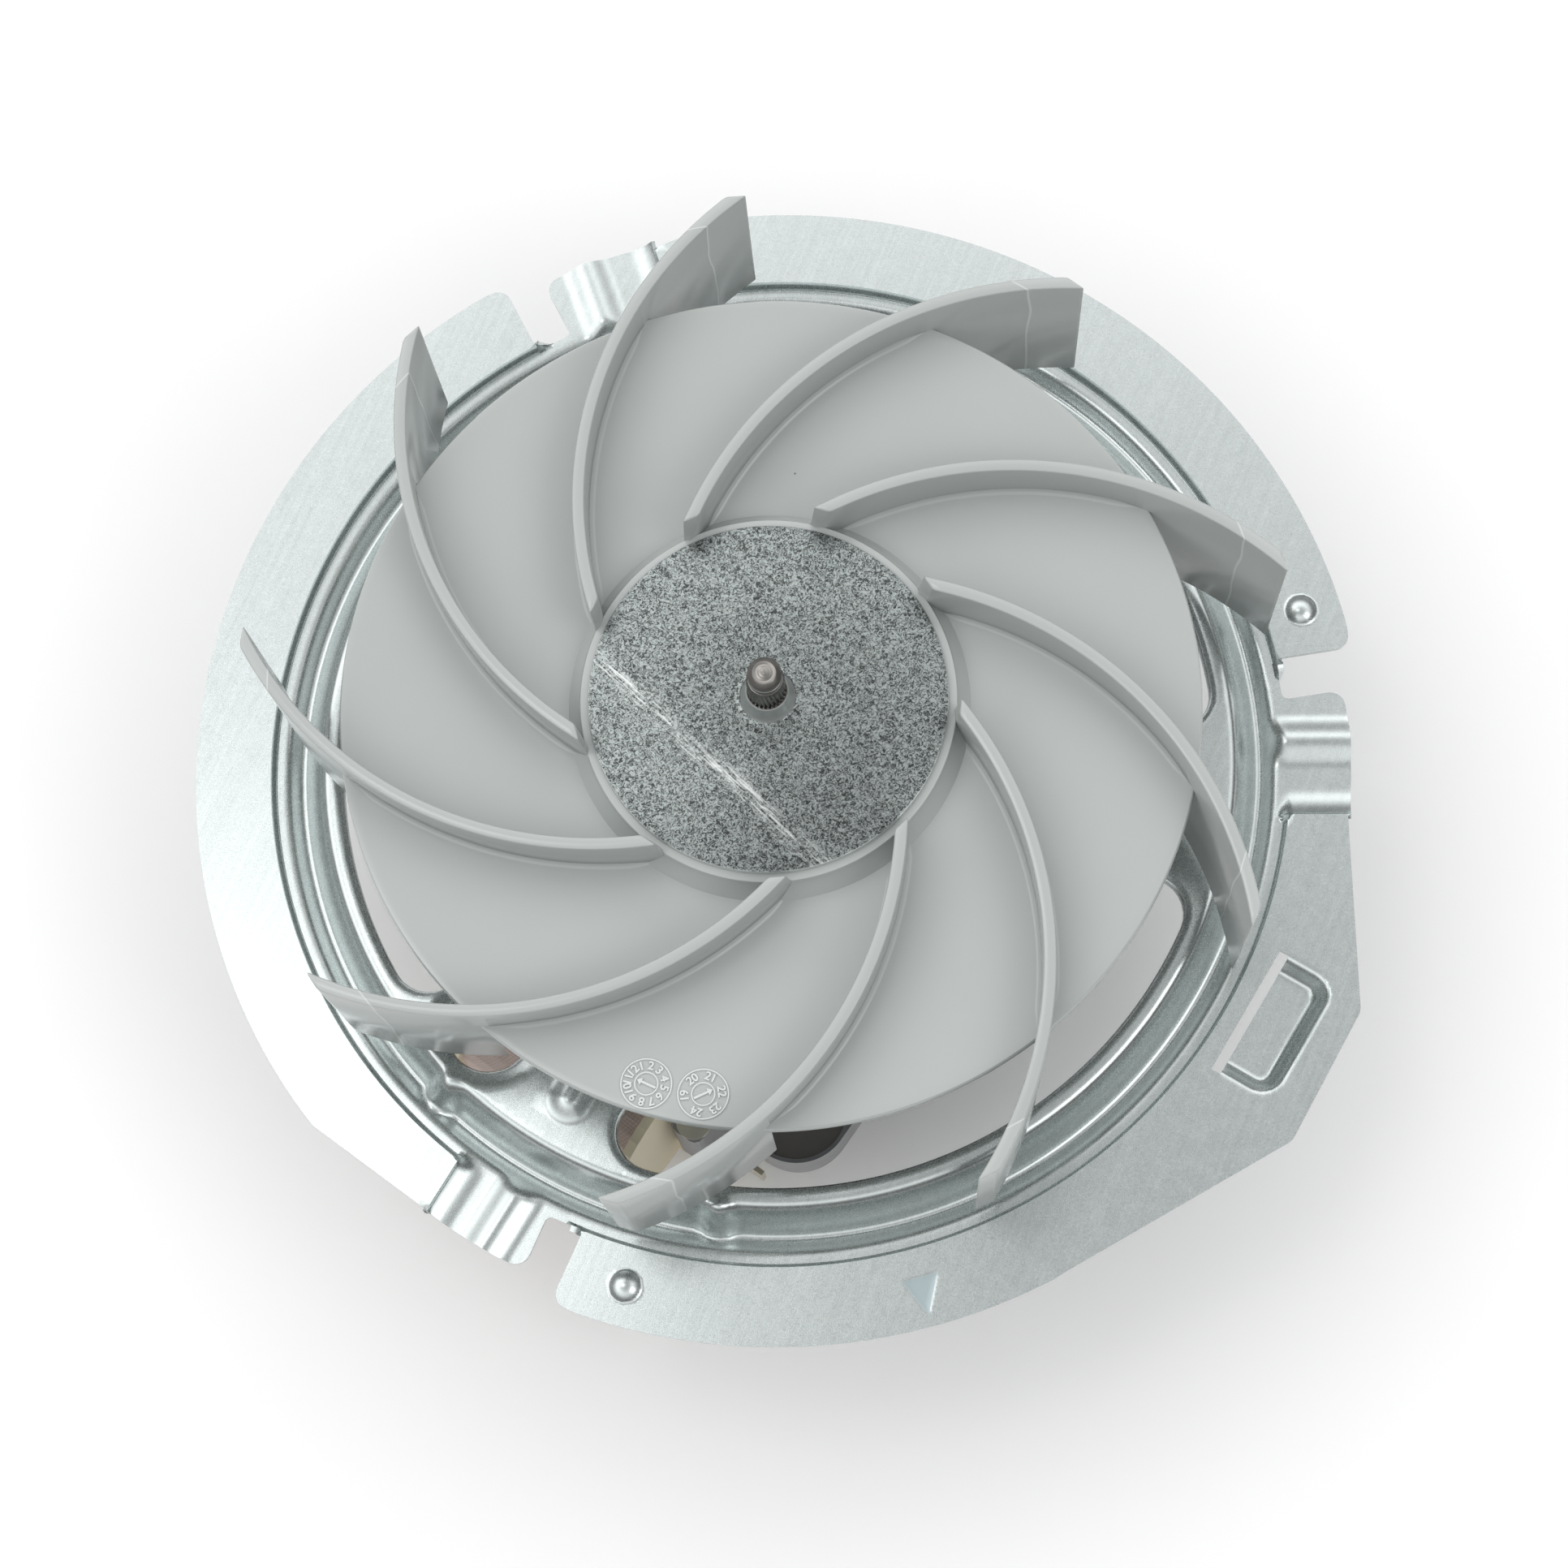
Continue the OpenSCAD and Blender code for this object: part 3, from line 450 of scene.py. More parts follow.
@dataclass
class Surface:
    """A material's node tree while it is being built."""

    name: str
    tree: bpy.types.NodeTree = field(init=False)
    material: bpy.types.Material = field(init=False)
    shader: bpy.types.Node = field(init=False)
    where: bpy.types.NodeSocket = field(init=False)

    def __post_init__(self) -> None:
        """Makes the material and its coordinates."""
        self.material = bpy.data.materials.new(self.name)
        self.material.use_nodes = True
        self.tree = self.material.node_tree
        self.shader = self.tree.nodes["Principled BSDF"]
        self.where = self.node("ShaderNodeTexCoord").outputs["Object"]

    def node(self, kind: str, sockets: dict[str | int, Any] | None = None, **settings: Any) -> bpy.types.Node:
        """Adds a node to the material, as new_node does."""
        return new_node(self.tree, kind, sockets, **settings)

    def mapped(self, scale: Sequence[float] = (1, 1, 1), turn: float = 0.0) -> bpy.types.NodeSocket:
        """Object coordinates, turned about Z and then stretched."""
        stretch = [1 / v for v in scale]
        sockets = {"Rotation": (0, 0, -math.radians(turn)), "Scale": stretch, "Vector": self.where}
        return self.node("ShaderNodeMapping", sockets, vector_type="TEXTURE").outputs["Vector"]

    def noise(self, per_mm: float, detail: float = 2.0, rough: float = 0.5,
              vector: bpy.types.NodeSocket | None = None, swirl: float = 0.0) -> Sock:
        """Noise between 0 and 1.

        Args:
            per_mm: about how many features there are to a millimetre.
            detail: number of finer layers.
            rough: share of the finer layers.
            vector: coordinates, or none for the object's own.
            swirl: how much the pattern is drawn about.

        Returns:
            The value.
        """
        sockets = {"Scale": per_mm / MM, "Detail": detail, "Roughness": rough, "Distortion": swirl,
                   "Vector": vector or self.where}
        return Sock(self.tree, self.node("ShaderNodeTexNoise", sockets).outputs["Fac"])

    def cells(self, per_mm: float) -> tuple[Sock, Sock]:
        """A pattern of cells.

        Args:
            per_mm: about how many cells there are to a millimetre.

        Returns:
            A random value for each cell, and the distance from its middle.
        """
        node = self.node("ShaderNodeTexVoronoi", {"Scale": per_mm / MM, "Vector": self.where})
        split = self.node("ShaderNodeSeparateColor", {"Color": node.outputs["Color"]})
        return Sock(self.tree, split.outputs["Red"]), Sock(self.tree, node.outputs["Distance"])

    def axes(self, vector: bpy.types.NodeSocket | None = None) -> tuple[Sock, Sock, Sock]:
        """The three coordinates, in millimetres."""
        node = self.node("ShaderNodeSeparateXYZ", {"Vector": vector or self.where})
        return tuple(Sock(self.tree, node.outputs[k]) / MM for k in "XYZ")

    def blend(self, amount: Any, low: Any, high: Any) -> bpy.types.NodeSocket:
        """A colour between two."""
        sockets = {MIX_FACTOR: amount, MIX_A: low, MIX_B: high}
        return self.node("ShaderNodeMix", sockets, data_type="RGBA").outputs[MIX_OUT]

    def bump(self, height: Sock, depth_mm: float, strength: float) -> None:
        """Raises the surface."""
        sockets = {"Strength": strength, "Distance": depth_mm * MM, "Height": height}
        self.put(Normal=self.node("ShaderNodeBump", sockets).outputs["Normal"])

    def put(self, **values: Any) -> None:
        """Sets or links inputs of the shader, such as Base_Color."""
        for key, value in values.items():
            plug(self.tree, self.shader.inputs[key.replace("_", " ")], value)


@dataclass(frozen=True)
class Finish:
    """What every finish has."""

    name: str
    colour: Colour
    roughness: float = 0.45

    def shade(self, s: Surface) -> None:
        """Builds the nodes on a plain surface."""
        raise NotImplementedError

    def material(self) -> bpy.types.Material:
        """The finished material."""
        s = Surface(self.name)
        self.shade(s)
        return s.material

    def tone(self, factor: float) -> Colour:
        """The colour, lighter or darker by factor."""
        return tuple(min(1.0, c * factor) for c in self.colour)


@dataclass(frozen=True)
class Galvanised(Finish):
    """Zinc-coated sheet: spangle, drawn lines, and a piece's own scratches, bare metal painted pale as a
    highlight, and stamp.
    """

    spangle: float = 0.25
    cell_per_mm: float = 1.2
    turn: float = 52.3
    lines: float = 0.2
    crisp: float = 0.0
    dark: float = 0.42
    bright: float = 1.58
    scratch: float = 0.0
    scratch_off: float = 12.35
    bare_z: float = 31.05
    rim_r: float = 0.0
    mark: tuple[tuple[float, float], ...] = ()
    scratch_tone: Colour = (0.8, 0.83, 0.82)
    bare_tone: Colour = (0.66, 0.69, 0.68)
    mark_tone: Colour = (0.36, 0.45, 0.48)
    metallic: float = 0.92
    relief_mm: float = 0.014

    def shade(self, s: Surface) -> None:
        """Grain, drawn lines, and what the piece has of scratches, bare metal with a painted highlight, and
        stamps.

        Args:
            s: the surface.
        """
        grain = s.noise(self.cell_per_mm, 5, 0.72, swirl=1.6)
        if self.crisp:
            grain = grain * (1 - self.crisp) + (grain.step(0.4, 0.6) * 0.5 + 0.25) * self.crisp
        patch = s.noise(self.cell_per_mm * 0.16, 3, 0.6)
        drawn = s.noise(1.2, 3, 0.6, s.mapped((0.03, 1, 1), self.turn))
        amount = (grain - 0.5) * self.spangle + (patch - 0.5) * self.spangle * 0.15
        amount = amount + (drawn - 0.5) * self.lines
        colour = s.blend((amount + 0.5).clamp(), self.tone(self.dark), self.tone(self.bright))
        rough = self.roughness + (grain - 0.5) * 0.16 + (patch - 0.5) * 0.06
        height = grain * 0.7 + drawn * 0.3
        if self.scratch:
            marks = self.scratches(s)
            colour = s.blend(marks, colour, self.scratch_tone)
            rough = rough + marks * 0.12
            height = height - marks * 0.8
        if self.rim_r:
            # The drawn collar and the sheared rim have lost the spangle; their paler tone is also a painted
            # highlight
            x, y, z = s.axes()
            bare = z.step(self.bare_z, self.bare_z + 0.35) + x.length(y).step(self.rim_r, self.rim_r + 0.2)
            bare = bare.clamp()
            colour = s.blend(bare, colour, self.bare_tone)
            rough = rough + bare * 0.04
        if self.mark:
            stamped = self.stamp(s)
            colour = s.blend(stamped * 0.7, colour, self.mark_tone)
            rough = rough + stamped * 0.2
        s.put(Base_Color=colour, Roughness=rough.clamp(0.12, 0.8), Metallic=self.metallic)
        s.bump(height, self.relief_mm, 0.6)

    def scratches(self, s: Surface) -> Sock:
        """One band of fine scratches that crosses the piece.

        Args:
            s: the surface.

        Returns:
            How scratched each place is.
        """
        off = s.axes(s.mapped((1, 1, 1), self.turn))[1] + self.scratch_off
        fine = s.noise(3.2, 4, 0.7, s.mapped((0.05, 1, 1), self.turn)).step(0.46, 0.6)
        bits = s.noise(0.8, 3, 0.6, s.mapped((0.3, 1, 1), self.turn)).step(0.4, 0.6)
        near = 1 - (off + (s.noise(0.1, 1) - 0.5) * 2).op("ABSOLUTE").step(0.1, 2.2)
        return near * fine * (bits * 0.7 + 0.3) * self.scratch

    def stamp(self, s: Surface) -> Sock:
        """The stamped triangle, which is rougher and paler than the sheet.

        Args:
            s: the surface.

        Returns:
            1 inside the triangle and 0 outside.
        """
        x, y, _ = s.axes()
        depth = None
        for (ax, ay), (bx, by) in zip(self.mark, self.mark[1:] + self.mark[:1]):
            length = math.hypot(bx - ax, by - ay)
            off = (x - ax) * ((by - ay) / length) - (y - ay) * ((bx - ax) / length)
            depth = off if depth is None else depth.op("MAXIMUM", off)
        return 1 - depth.step(-0.25, 0.1)


@dataclass(frozen=True)
class Moulded(Finish):
    """Injection-moulded plastic, satin, with a trace of flow."""

    seam_r: float = 0.0
    seam_tone: Colour = (0.72, 0.75, 0.74)
    dust_tone: Colour = (0.08, 0.07, 0.06)
    relief_mm: float = 0.008

    def shade(self, s: Surface) -> None:
        """Flow marks, and on the wheel the parting line with a painted highlight, and dust.

        Args:
            s: the surface.
        """
        flow = s.noise(0.05, 3)
        fine = s.noise(5.0, 2, 0.6)
        colour = s.blend(flow * 0.7 + fine * 0.3, self.tone(0.955), self.tone(1.03))
        height = fine
        if self.seam_r:
            # The mould's parting line crosses every blade at one radius; it is painted paler as a highlight,
            # and the tip beyond it a little paler
            x, y, _ = s.axes()
            r = x.length(y) + (s.noise(0.08, 1) - 0.5) * 1.2
            seam = 1 - (r - self.seam_r).op("ABSOLUTE").step(0.05, 0.16)
            beyond = r.step(self.seam_r - 0.05, self.seam_r + 0.05)
            colour = s.blend(seam * 0.5 + beyond * 0.1, colour, self.seam_tone)
            height = fine + seam * 6
            chance, off = s.cells(0.22)
            dust = chance.step(0.985, 0.99) * (1 - off.step(0.02, 0.05))
            colour = s.blend(dust, colour, self.dust_tone)
        rough = (self.roughness + (flow - 0.5) * 0.08 + (fine - 0.5) * 0.06).clamp()
        s.put(Base_Color=colour, Roughness=rough)
        s.bump(height, self.relief_mm, 0.5)


@dataclass(frozen=True)
class Turned(Finish):
    """Bare metal, turned, rolled or drawn."""

    rings_per_mm: float = 6.0
    metallic: float = 1.0

    def shade(self, s: Surface) -> None:
        """Tool rings and stains.

        Args:
            s: the surface.
        """
        rings = s.noise(0.5, 3, 0.6, s.mapped((0.3, 0.3, self.rings_per_mm)))
        stain = s.noise(0.3, 4, 0.6)
        colour = s.blend(rings * 0.5 + stain * 0.5, self.tone(0.72), self.tone(1.2))
        rough = (self.roughness + (rings - 0.5) * 0.2 + (stain - 0.5) * 0.1).clamp(0.08, 0.9)
        s.put(Base_Color=colour, Roughness=rough, Metallic=self.metallic)
        s.bump(rings, 0.01, 0.5)


@dataclass(frozen=True)
class Laminated(Finish):
    """Edges of stacked sheets."""

    sheet_mm: float = 0.5

    def shade(self, s: Surface) -> None:
        """Sheet edges and wear.

        Args:
            s: the surface.
        """
        wave = (s.axes()[2] * (2 * math.pi / self.sheet_mm)).op("SINE") * 0.5 + 0.5
        wear = s.noise(0.4, 3, 0.6)
        colour = s.blend(wave * 0.45 + wear * 0.55, self.tone(0.55), self.tone(1.4))
        s.put(Base_Color=colour, Roughness=(self.roughness + (wear - 0.5) * 0.2).clamp(), Metallic=0.8)
        s.bump(wave, 0.03, 0.6)


@dataclass(frozen=True)
class Woven(Finish):
    """Tape or felt with crossing threads."""

    threads_per_mm: float = 2.4
    turn: float = 0.0
    fuzz: float = 0.4

    def shade(self, s: Surface) -> None:
        """Warp, weft and fuzz.

        Args:
            s: the surface.
        """
        x, y, z = s.axes(s.mapped((1, 1, 1), self.turn))
        step = math.pi * self.threads_per_mm
        weave = (x * step).op("SINE") * ((y + z) * step).op("SINE") * 0.5 + 0.5
        fuzz = s.noise(3.0, 3, 0.7)
        colour = s.blend(weave * (1 - self.fuzz) + fuzz * self.fuzz, self.tone(0.72), self.tone(1.15))
        s.put(Base_Color=colour, Roughness=(self.roughness + (fuzz - 0.5) * 0.2).clamp())
        s.bump(weave * 0.7 + fuzz * 0.3, 0.06, 0.8)


FINISHES: dict[str, Finish] = {
    "plate_steel": Galvanised("Galvanised sheet", (0.56, 0.605, 0.6), 0.27, spangle=0.5, cell_per_mm=2.6,
                              turn=-58, mark=MARK),
    "disc_steel": Galvanised("Spangled sheet", (0.2, 0.221, 0.217), 0.35, spangle=2.8, cell_per_mm=2.0,
                             scratch=0.75, lines=0.6, crisp=0.8, rim_r=25.4, dark=0.22, bright=1.75),
    "shaft_steel": Turned("Ground steel", (0.27, 0.26, 0.245), 0.3),
    "wheel_plastic": Moulded("Grey nylon", (0.44, 0.465, 0.455), 0.17, seam_r=70.4),
    # The raised dials are the wheel's own nylon, painted paler as a highlight
    "dial_plastic_painted_highlight": Moulded("Grey nylon, raised", (0.66, 0.69, 0.68), 0.3),
    "lamination": Laminated("Electrical sheet", (0.3, 0.3, 0.31), 0.5),
    "bobbin_plastic": Moulded("Ivory nylon", (0.78, 0.7, 0.52), 0.45),
    "copper_wire": Turned("Enamelled copper", (0.55, 0.25, 0.1), 0.35, rings_per_mm=3),
    "tape": Woven("Woven tape", (0.66, 0.52, 0.47), 0.6, turn=1),
    "copper_bar": Turned("Bare copper", (0.75, 0.42, 0.28), 0.35),
    "bracket_steel": Galvanised("Zinc-plated sheet", (0.6, 0.62, 0.64), 0.35, spangle=0.6),
    "sintered_bronze": Turned("Sintered bronze", (0.48, 0.33, 0.2), 0.55, metallic=0.8),
    "spring_steel": Turned("Spring strip", (0.3, 0.32, 0.36), 0.3),
    "felt": Woven("Oiled felt", (0.55, 0.48, 0.36), 0.9, threads_per_mm=1.2, fuzz=0.9),
    "fastener_steel": Turned("Plated steel", (0.62, 0.6, 0.52), 0.35),
    "cast_aluminium": Turned("Cast aluminium", (0.7, 0.71, 0.72), 0.5, rings_per_mm=1),
    "spacer_brass": Turned("Turned brass", (0.72, 0.55, 0.26), 0.3),
    "fibre": Moulded("Laminated fibre", (0.24, 0.12, 0.06), 0.6),
    "switch_plastic": Moulded("Phenolic", (0.085, 0.08, 0.075), 0.3),
    "clip_steel": Turned("Steel strip", (0.24, 0.24, 0.25), 0.32, rings_per_mm=1),
    "tinned_brass": Turned("Tinned brass", (0.66, 0.62, 0.5), 0.35),
}


@dataclass
class Palette:
    """The materials, one for each slot."""

    made: dict[str, bpy.types.Material] = field(default_factory=dict)

    def get(self, slot: str) -> bpy.types.Material:
        """The material of a slot, built once."""
        if slot not in self.made:
            self.made[slot] = FINISHES[slot].material()
        return self.made[slot]

    def paint(self, obj: bpy.types.Object, *slots: str) -> None:
        """Gives obj these slots' materials, the first one on every face."""
        obj.data.materials.clear()
        for slot in slots:
            obj.data.materials.append(self.get(slot))


def dress(obj: bpy.types.Object, palette: Palette, slot: str, body: Body, *nodes: str) -> None:
    """Puts a finished piece in place of CAD nodes.

    Args:
        obj: the new piece, which keeps materials that it has.
        palette: the materials.
        slot: its material slot.
        body: the body that it moves with.
        nodes: the CAD nodes that it stands for.
    """
    if not obj.data.materials:
        palette.paint(obj, slot)
    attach(obj, body.value)
    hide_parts(*nodes)


# The pressed plate


@dataclass(frozen=True)
class Tab:
    """One locking tab: its notch, its direction, half its length and its edge's radius."""

    notch: float
    at: float
    half: float
    edge: float

    @property
    def start(self) -> float:
        """Direction of the tab's step."""
        return self.at - math.degrees(math.asin(self.half / self.edge))


@dataclass(frozen=True)
class Patch:
    """A turned grid of points on the sheet, given by its columns and rows."""

    origin: tuple[float, float]
    turn: float
    columns: Array
    rows: Array
    margin: float = 0.2

    def points(self) -> Array:
        """The grid's points."""
        u, v = np.meshgrid(self.columns, self.rows)
        return np.column_stack([u.ravel(), v.ravel()]) @ turned(self.turn) + self.origin

    def covers(self, points: Array) -> Array:
        """Which points lie on the grid.

        Args:
            points: rows of x and y.

        Returns:
            One truth value for each point.
        """
        u, v = ((points - self.origin) @ turned(self.turn).T).T
        across = (u > self.columns[0] - self.margin) & (u < self.columns[-1])
        return across & (v > self.rows[0] - self.margin) & (v < self.rows[-1] + self.margin)


@dataclass
class Plate:
    """The mounting plate as one smooth sheet. Sizes in millimetres.

    A leg is its direction and half its width, a straight edge its direction and its distance from the
    axis, and a bump its place and height. Points inside the sheet keep the distance clear from every
    edge, and triangles whose doubled area is under sliver are left out.
    """

    thickness: float = 0.9
    flange_r: float = 88.2
    step_r: float = 76.7
    shoulder_in_r: float = 74.2
    valley_out_r: float = 73.0
    valley_in_r: float = 71.6
    middle_r: float = 68.4
    window_out_r: float = 65.5
    window_in_r: float = 36.0
    window_corner: float = 5.5
    middle_z: float = 2.2
    valley_z: float = -3.5
    shoulder_z: float = -2.0
    lip_depth: float = 2.4
    roll: float = 1.2
    legs: tuple[tuple[float, float], ...] = ((-17.2, 11.4), (-137.2, 16.0), (102.8, 12.0))
    tabs: tuple[Tab, ...] = (
        Tab(-0.4, -9.2, 9.5, 86.0), Tab(-122.7, -130.4, 7.9, 85.4), Tab(108.5, 100.45, 9.0, 86.5),
    )
    notch_half: float = 3.0
    notch_corner: float = 2.2
    notch_inset: float = 0.3
    foot_corner: float = 1.0
    rib_at: float = 0.23
    rib_h: float = 1.3
    rib_w: float = 8.4
    ramp_w: float = 4.2
    ramp_h: float = 0.8
    top_line: tuple[float, float] = (103.3, 84.2)
    low_line: tuple[float, float] = (-135.0, 85.3)
    lug_corners: tuple[tuple[float, float], ...] = (
        (29.1, -83.1), (64.8, -69.7), (78.3, -52.6), (82.3, -23.4),
    )
    lug_edge_corner: float = 2.5
    lug_line_end: float = -70.7
    lug_pos: tuple[float, float] = (63.0, -50.6)
    lug_at: float = -40.2
    lug_size: tuple[float, float] = (8.6, 10.3)
    lug_corner: float = 4.0
    lug_drop: float = 2.5
    slot_w: float = 1.5
    leg_hole: tuple[float, float] = (-48.5, -34.7)
    leg_hole_r: float = 6.2
    leg_hole_dip: float = 0.8
    boss: tuple[tuple[float, float], ...] = ((-38.0, -47.2), (-31.5, -39.2))
    boss_r: float = 3.0
    boss_h: float = 1.5
    bumps: tuple[tuple[float, float, float], ...] = ((-19.3, -67.6, 2.6), (-56.7, -42.7, 2.6))
    bump_r: float = 3.4
    bump_top: float = 0.4
    dimples: tuple[tuple[float, float], ...] = ((81.7, 9.3), (-34.0, -75.1))
    dimple_r: float = 2.4
    dimple_ball: float = 3.17
    dimple_h: float = 1.1
    mark_depth: float = 0.1
    motor_at: float = -134.0
    bearing_r: float = 10.0
    screw_y: float = 22.5
    screw_r: float = 2.1
    edge_step: float = 1.1
    roll_rows: tuple[float, ...] = (0.12, 0.35, 0.65, 1.0, 1.5, 2.1)
    clear: float = 0.32
    sliver: float = 1e-3
    merge: float = 1e-4
    ring_n: int = 420
    step_rows: Array = field(default_factory=lambda: np.array([-0.5, -0.36, -0.24, -0.12, 0.0, 0.12, 0.4]))
    _bend: tuple[Array, Array] | None = None

    def line_end(self, line: tuple[float, float]) -> float:
        """Direction in which a straight edge meets the flange's circle."""
        return line[0] - math.degrees(math.acos(line[1] / self.flange_r))

    def line_points(self, line: tuple[float, float], tab: Tab) -> list[Array]:
        """Both ends of a straight edge."""
        ends = (self.line_end(line), tab.start)
        return [polar(line[1] / math.cos(math.radians(a - line[0])), a) for a in ends]

    def notch_points(self, tab: Tab) -> list[Array]:
        """One notch, from the tab's edge to the flange's.

        Args:
            tab: the tab that it belongs to.

        Returns:
            The points, in order.
        """
        h, r, foot = self.notch_half, self.notch_corner, self.step_r - 0.1
        low, high = tab.edge - self.notch_inset, self.flange_r - self.notch_inset
        corners = ((low, -h), (foot, -h), (foot, h), (high, h))
        pts = arc((low - r, -h - r), r, 0, 90, 5) + fillet(*corners[:3], self.foot_corner)
        pts += fillet(*corners[1:], self.foot_corner) + arc((high - r, h + r), r, -90, 0, 5)
        return list(np.array(pts) @ turned(tab.notch))

    def tab_points(self, tab: Tab) -> list[Array]:
        """The edge of one tab and its notch."""
        end = tab.notch - math.degrees(math.asin((self.notch_half + self.notch_corner) / tab.edge))
        edge = polar(tab.edge, tab.start + (end - tab.start) * np.arange(6) / 6)
        return list(edge) + self.notch_points(tab)

    def rim(self, tab: Tab, end: float, n: int) -> list[Array]:
        """The flange's circle after a tab's notch, without its ends."""
        start = tab.notch + math.degrees(math.asin((self.notch_half + self.notch_corner) / self.flange_r))
        return list(polar(self.flange_r, np.linspace(start, end, n + 1)[1:-1]))

    def outline(self) -> Array:
        """The plate's outer edge: three tabs with notches, two straight edges and the lug's corners.

        Returns:
            The points, in order.
        """
        right, low, top = self.tabs
        a, b, c, d = self.lug_corners
        pts = self.tab_points(right) + self.rim(right, self.line_end(self.top_line), 70)
        pts += self.line_points(self.top_line, top)
        pts += self.tab_points(top) + self.rim(top, self.line_end(self.low_line) + 360, 90)
        pts += self.line_points(self.low_line, low)
        pts += self.tab_points(low) + self.rim(low, self.lug_line_end, 40) + [np.array(a)]
        pts += fillet(a, b, c, self.lug_edge_corner) + fillet(b, c, d, self.lug_edge_corner) + [np.array(d)]
        return resample(pts, self.edge_step)

    def window(self, i: int, g: float = 0.0) -> Array:
        """One window between two legs.

        Args:
            i: number of the leg that it ends at, going anticlockwise.
            g: how much it is grown on every side.

        Returns:
            The points of its edge.
        """
        (a, ha), (b, hb) = self.legs[(i + 1) % 3], self.legs[i]
        if a > b:
            a -= 360
        corner = self.window_corner + g
        out_c, in_c = self.window_out_r + g - corner, self.window_in_r - g + corner
        lean = [math.degrees(math.asin((h - g + corner) / c)) for h in (ha, hb) for c in (out_c, in_c)]
        a_out, a_in, b_out, b_in = a + lean[0], a + lean[1], b - lean[2], b - lean[3]
        pts = arc(polar(out_c, a_out), corner, a - 90, a_out, 8)
        pts += list(polar(self.window_out_r + g, np.linspace(a_out, b_out, 82)[1:-1]))
        pts += arc(polar(out_c, b_out), corner, b_out, b + 90, 8)
        pts += arc(polar(in_c, b_in), corner, b + 90, b_in + 180, 8)
        pts += list(polar(self.window_in_r - g, np.linspace(b_in, a_in, 30)[1:-1]))
        pts += arc(polar(in_c, a_in), corner, a_in + 180, a + 270, 8)
        return resample(pts, self.edge_step)

    def section(self, r: Array) -> Array:
        """Height of the sheet along a radius, with rounded bends, without the flange's step.

        Args:
            r: radii in millimetres.

        Returns:
            The heights.
        """
        if self._bend is None:
            grid = np.arange(0, 100, 0.02)
            corners = [0, self.middle_r, self.valley_in_r, self.valley_out_r, self.shoulder_in_r, 100]
            raw = np.interp(grid, corners, np.repeat([self.middle_z, self.valley_z, self.shoulder_z], 2))
            # Two running means round the corners
            for width in (71, 55):
                raw = np.convolve(np.pad(raw, width // 2, mode="edge"), np.ones(width) / width, mode="valid")
            self._bend = (grid, raw)
        return np.interp(r, *self._bend)

    def stepped(self, x: Array, y: Array) -> Array:
        """The sheet with the flange's step, the tabs' ribs and the climbs beside them.

        Args:
            x: coordinates in millimetres.
            y: coordinates in millimetres.

        Returns:
            The height of each point.
        """
        r = np.hypot(x, y)
        z, out_of_step = self.section(r), r - self.step_r
        rib, ramp = np.zeros_like(r), np.zeros_like(r)
        for tab in self.tabs:
            u, v = local(x, y, tab.at)
            beyond = np.maximum(-tab.half - v, v - tab.half - self.notch_half)
            near = (u > 60) & (np.abs(v) < 30)
            out_of_step = np.where(near, np.minimum(out_of_step, beyond), out_of_step)
            w = np.clip((v - self.rib_at * tab.half) / self.rib_w, -0.5, 0.5)
            shape = (1 + np.cos(2 * np.pi * w)) / 2 * smooth(r, 73.4, 76.4)
            rib += np.where(near & (beyond < 0), shape * self.rib_h, 0)
            climb = np.clip((-tab.half - v + self.ramp_w) / self.ramp_w, 0, 1) ** 2
            climb *= self.ramp_h * smooth(r, 75.4, 77.4)
            ramp = np.maximum(ramp, np.where(near & (beyond < 0.1), climb, 0))
        return z - z * np.maximum(smooth(out_of_step, -0.45, 0.1), ramp) * (r > 74) + rib

    def height(self, x: Array, y: Array) -> Array:
        """Upper face of the sheet.

        Args:
            x: coordinates in millimetres.
            y: coordinates in millimetres.

        Returns:
            The height of each point, without the rolled window edges.
        """
        z = self.stepped(x, y)
        u, v = local(x, y, self.lug_at, self.lug_pos)
        q = np.stack([u - self.lug_size[0], np.abs(v) - self.lug_size[1]]) + self.lug_corner
        edge = np.hypot(*np.maximum(q, 0)) + np.minimum(q.max(0), 0) - self.lug_corner
        z -= np.where(u > -0.1, self.lug_drop * smooth(-edge, 0.1, 2.7), 0)
        for cx, cy in self.dimples:
            d = np.hypot(x - cx, y - cy)
            ball = np.sqrt(np.maximum(self.dimple_ball**2 - d**2, 0)) - (self.dimple_ball - self.dimple_h)
            z += np.where(d < self.dimple_r, ball, 0).clip(0)
        sides = []
        for (ax, ay), (bx, by) in zip(MARK, MARK[1:] + MARK[:1]):
            sides.append(((x - ax) * (by - ay) - (y - ay) * (bx - ax)) / math.hypot(bx - ax, by - ay))
        z -= self.mark_depth * smooth(-np.stack(sides).max(0), 0.0, 0.5)
        d = np.hypot(x - self.leg_hole[0], y - self.leg_hole[1])
        z -= self.leg_hole_dip * (1 - smooth(d, self.leg_hole_r + 0.4, self.leg_hole_r + 3.2))
        p, q = (np.array(v) for v in self.boss)
        ex, ey = q - p
        t = np.clip(((x - p[0]) * ex + (y - p[1]) * ey) / (ex * ex + ey * ey), 0, 1)
        d = np.hypot(x - p[0] - t * ex, y - p[1] - t * ey)
        z += self.boss_h * smooth(-d, -self.boss_r - 0.9, -self.boss_r + 2.6)
        for cx, cy, h in self.bumps:
            z += h * smooth(-np.hypot(x - cx, y - cy), -self.bump_r, -self.bump_top)
        return z

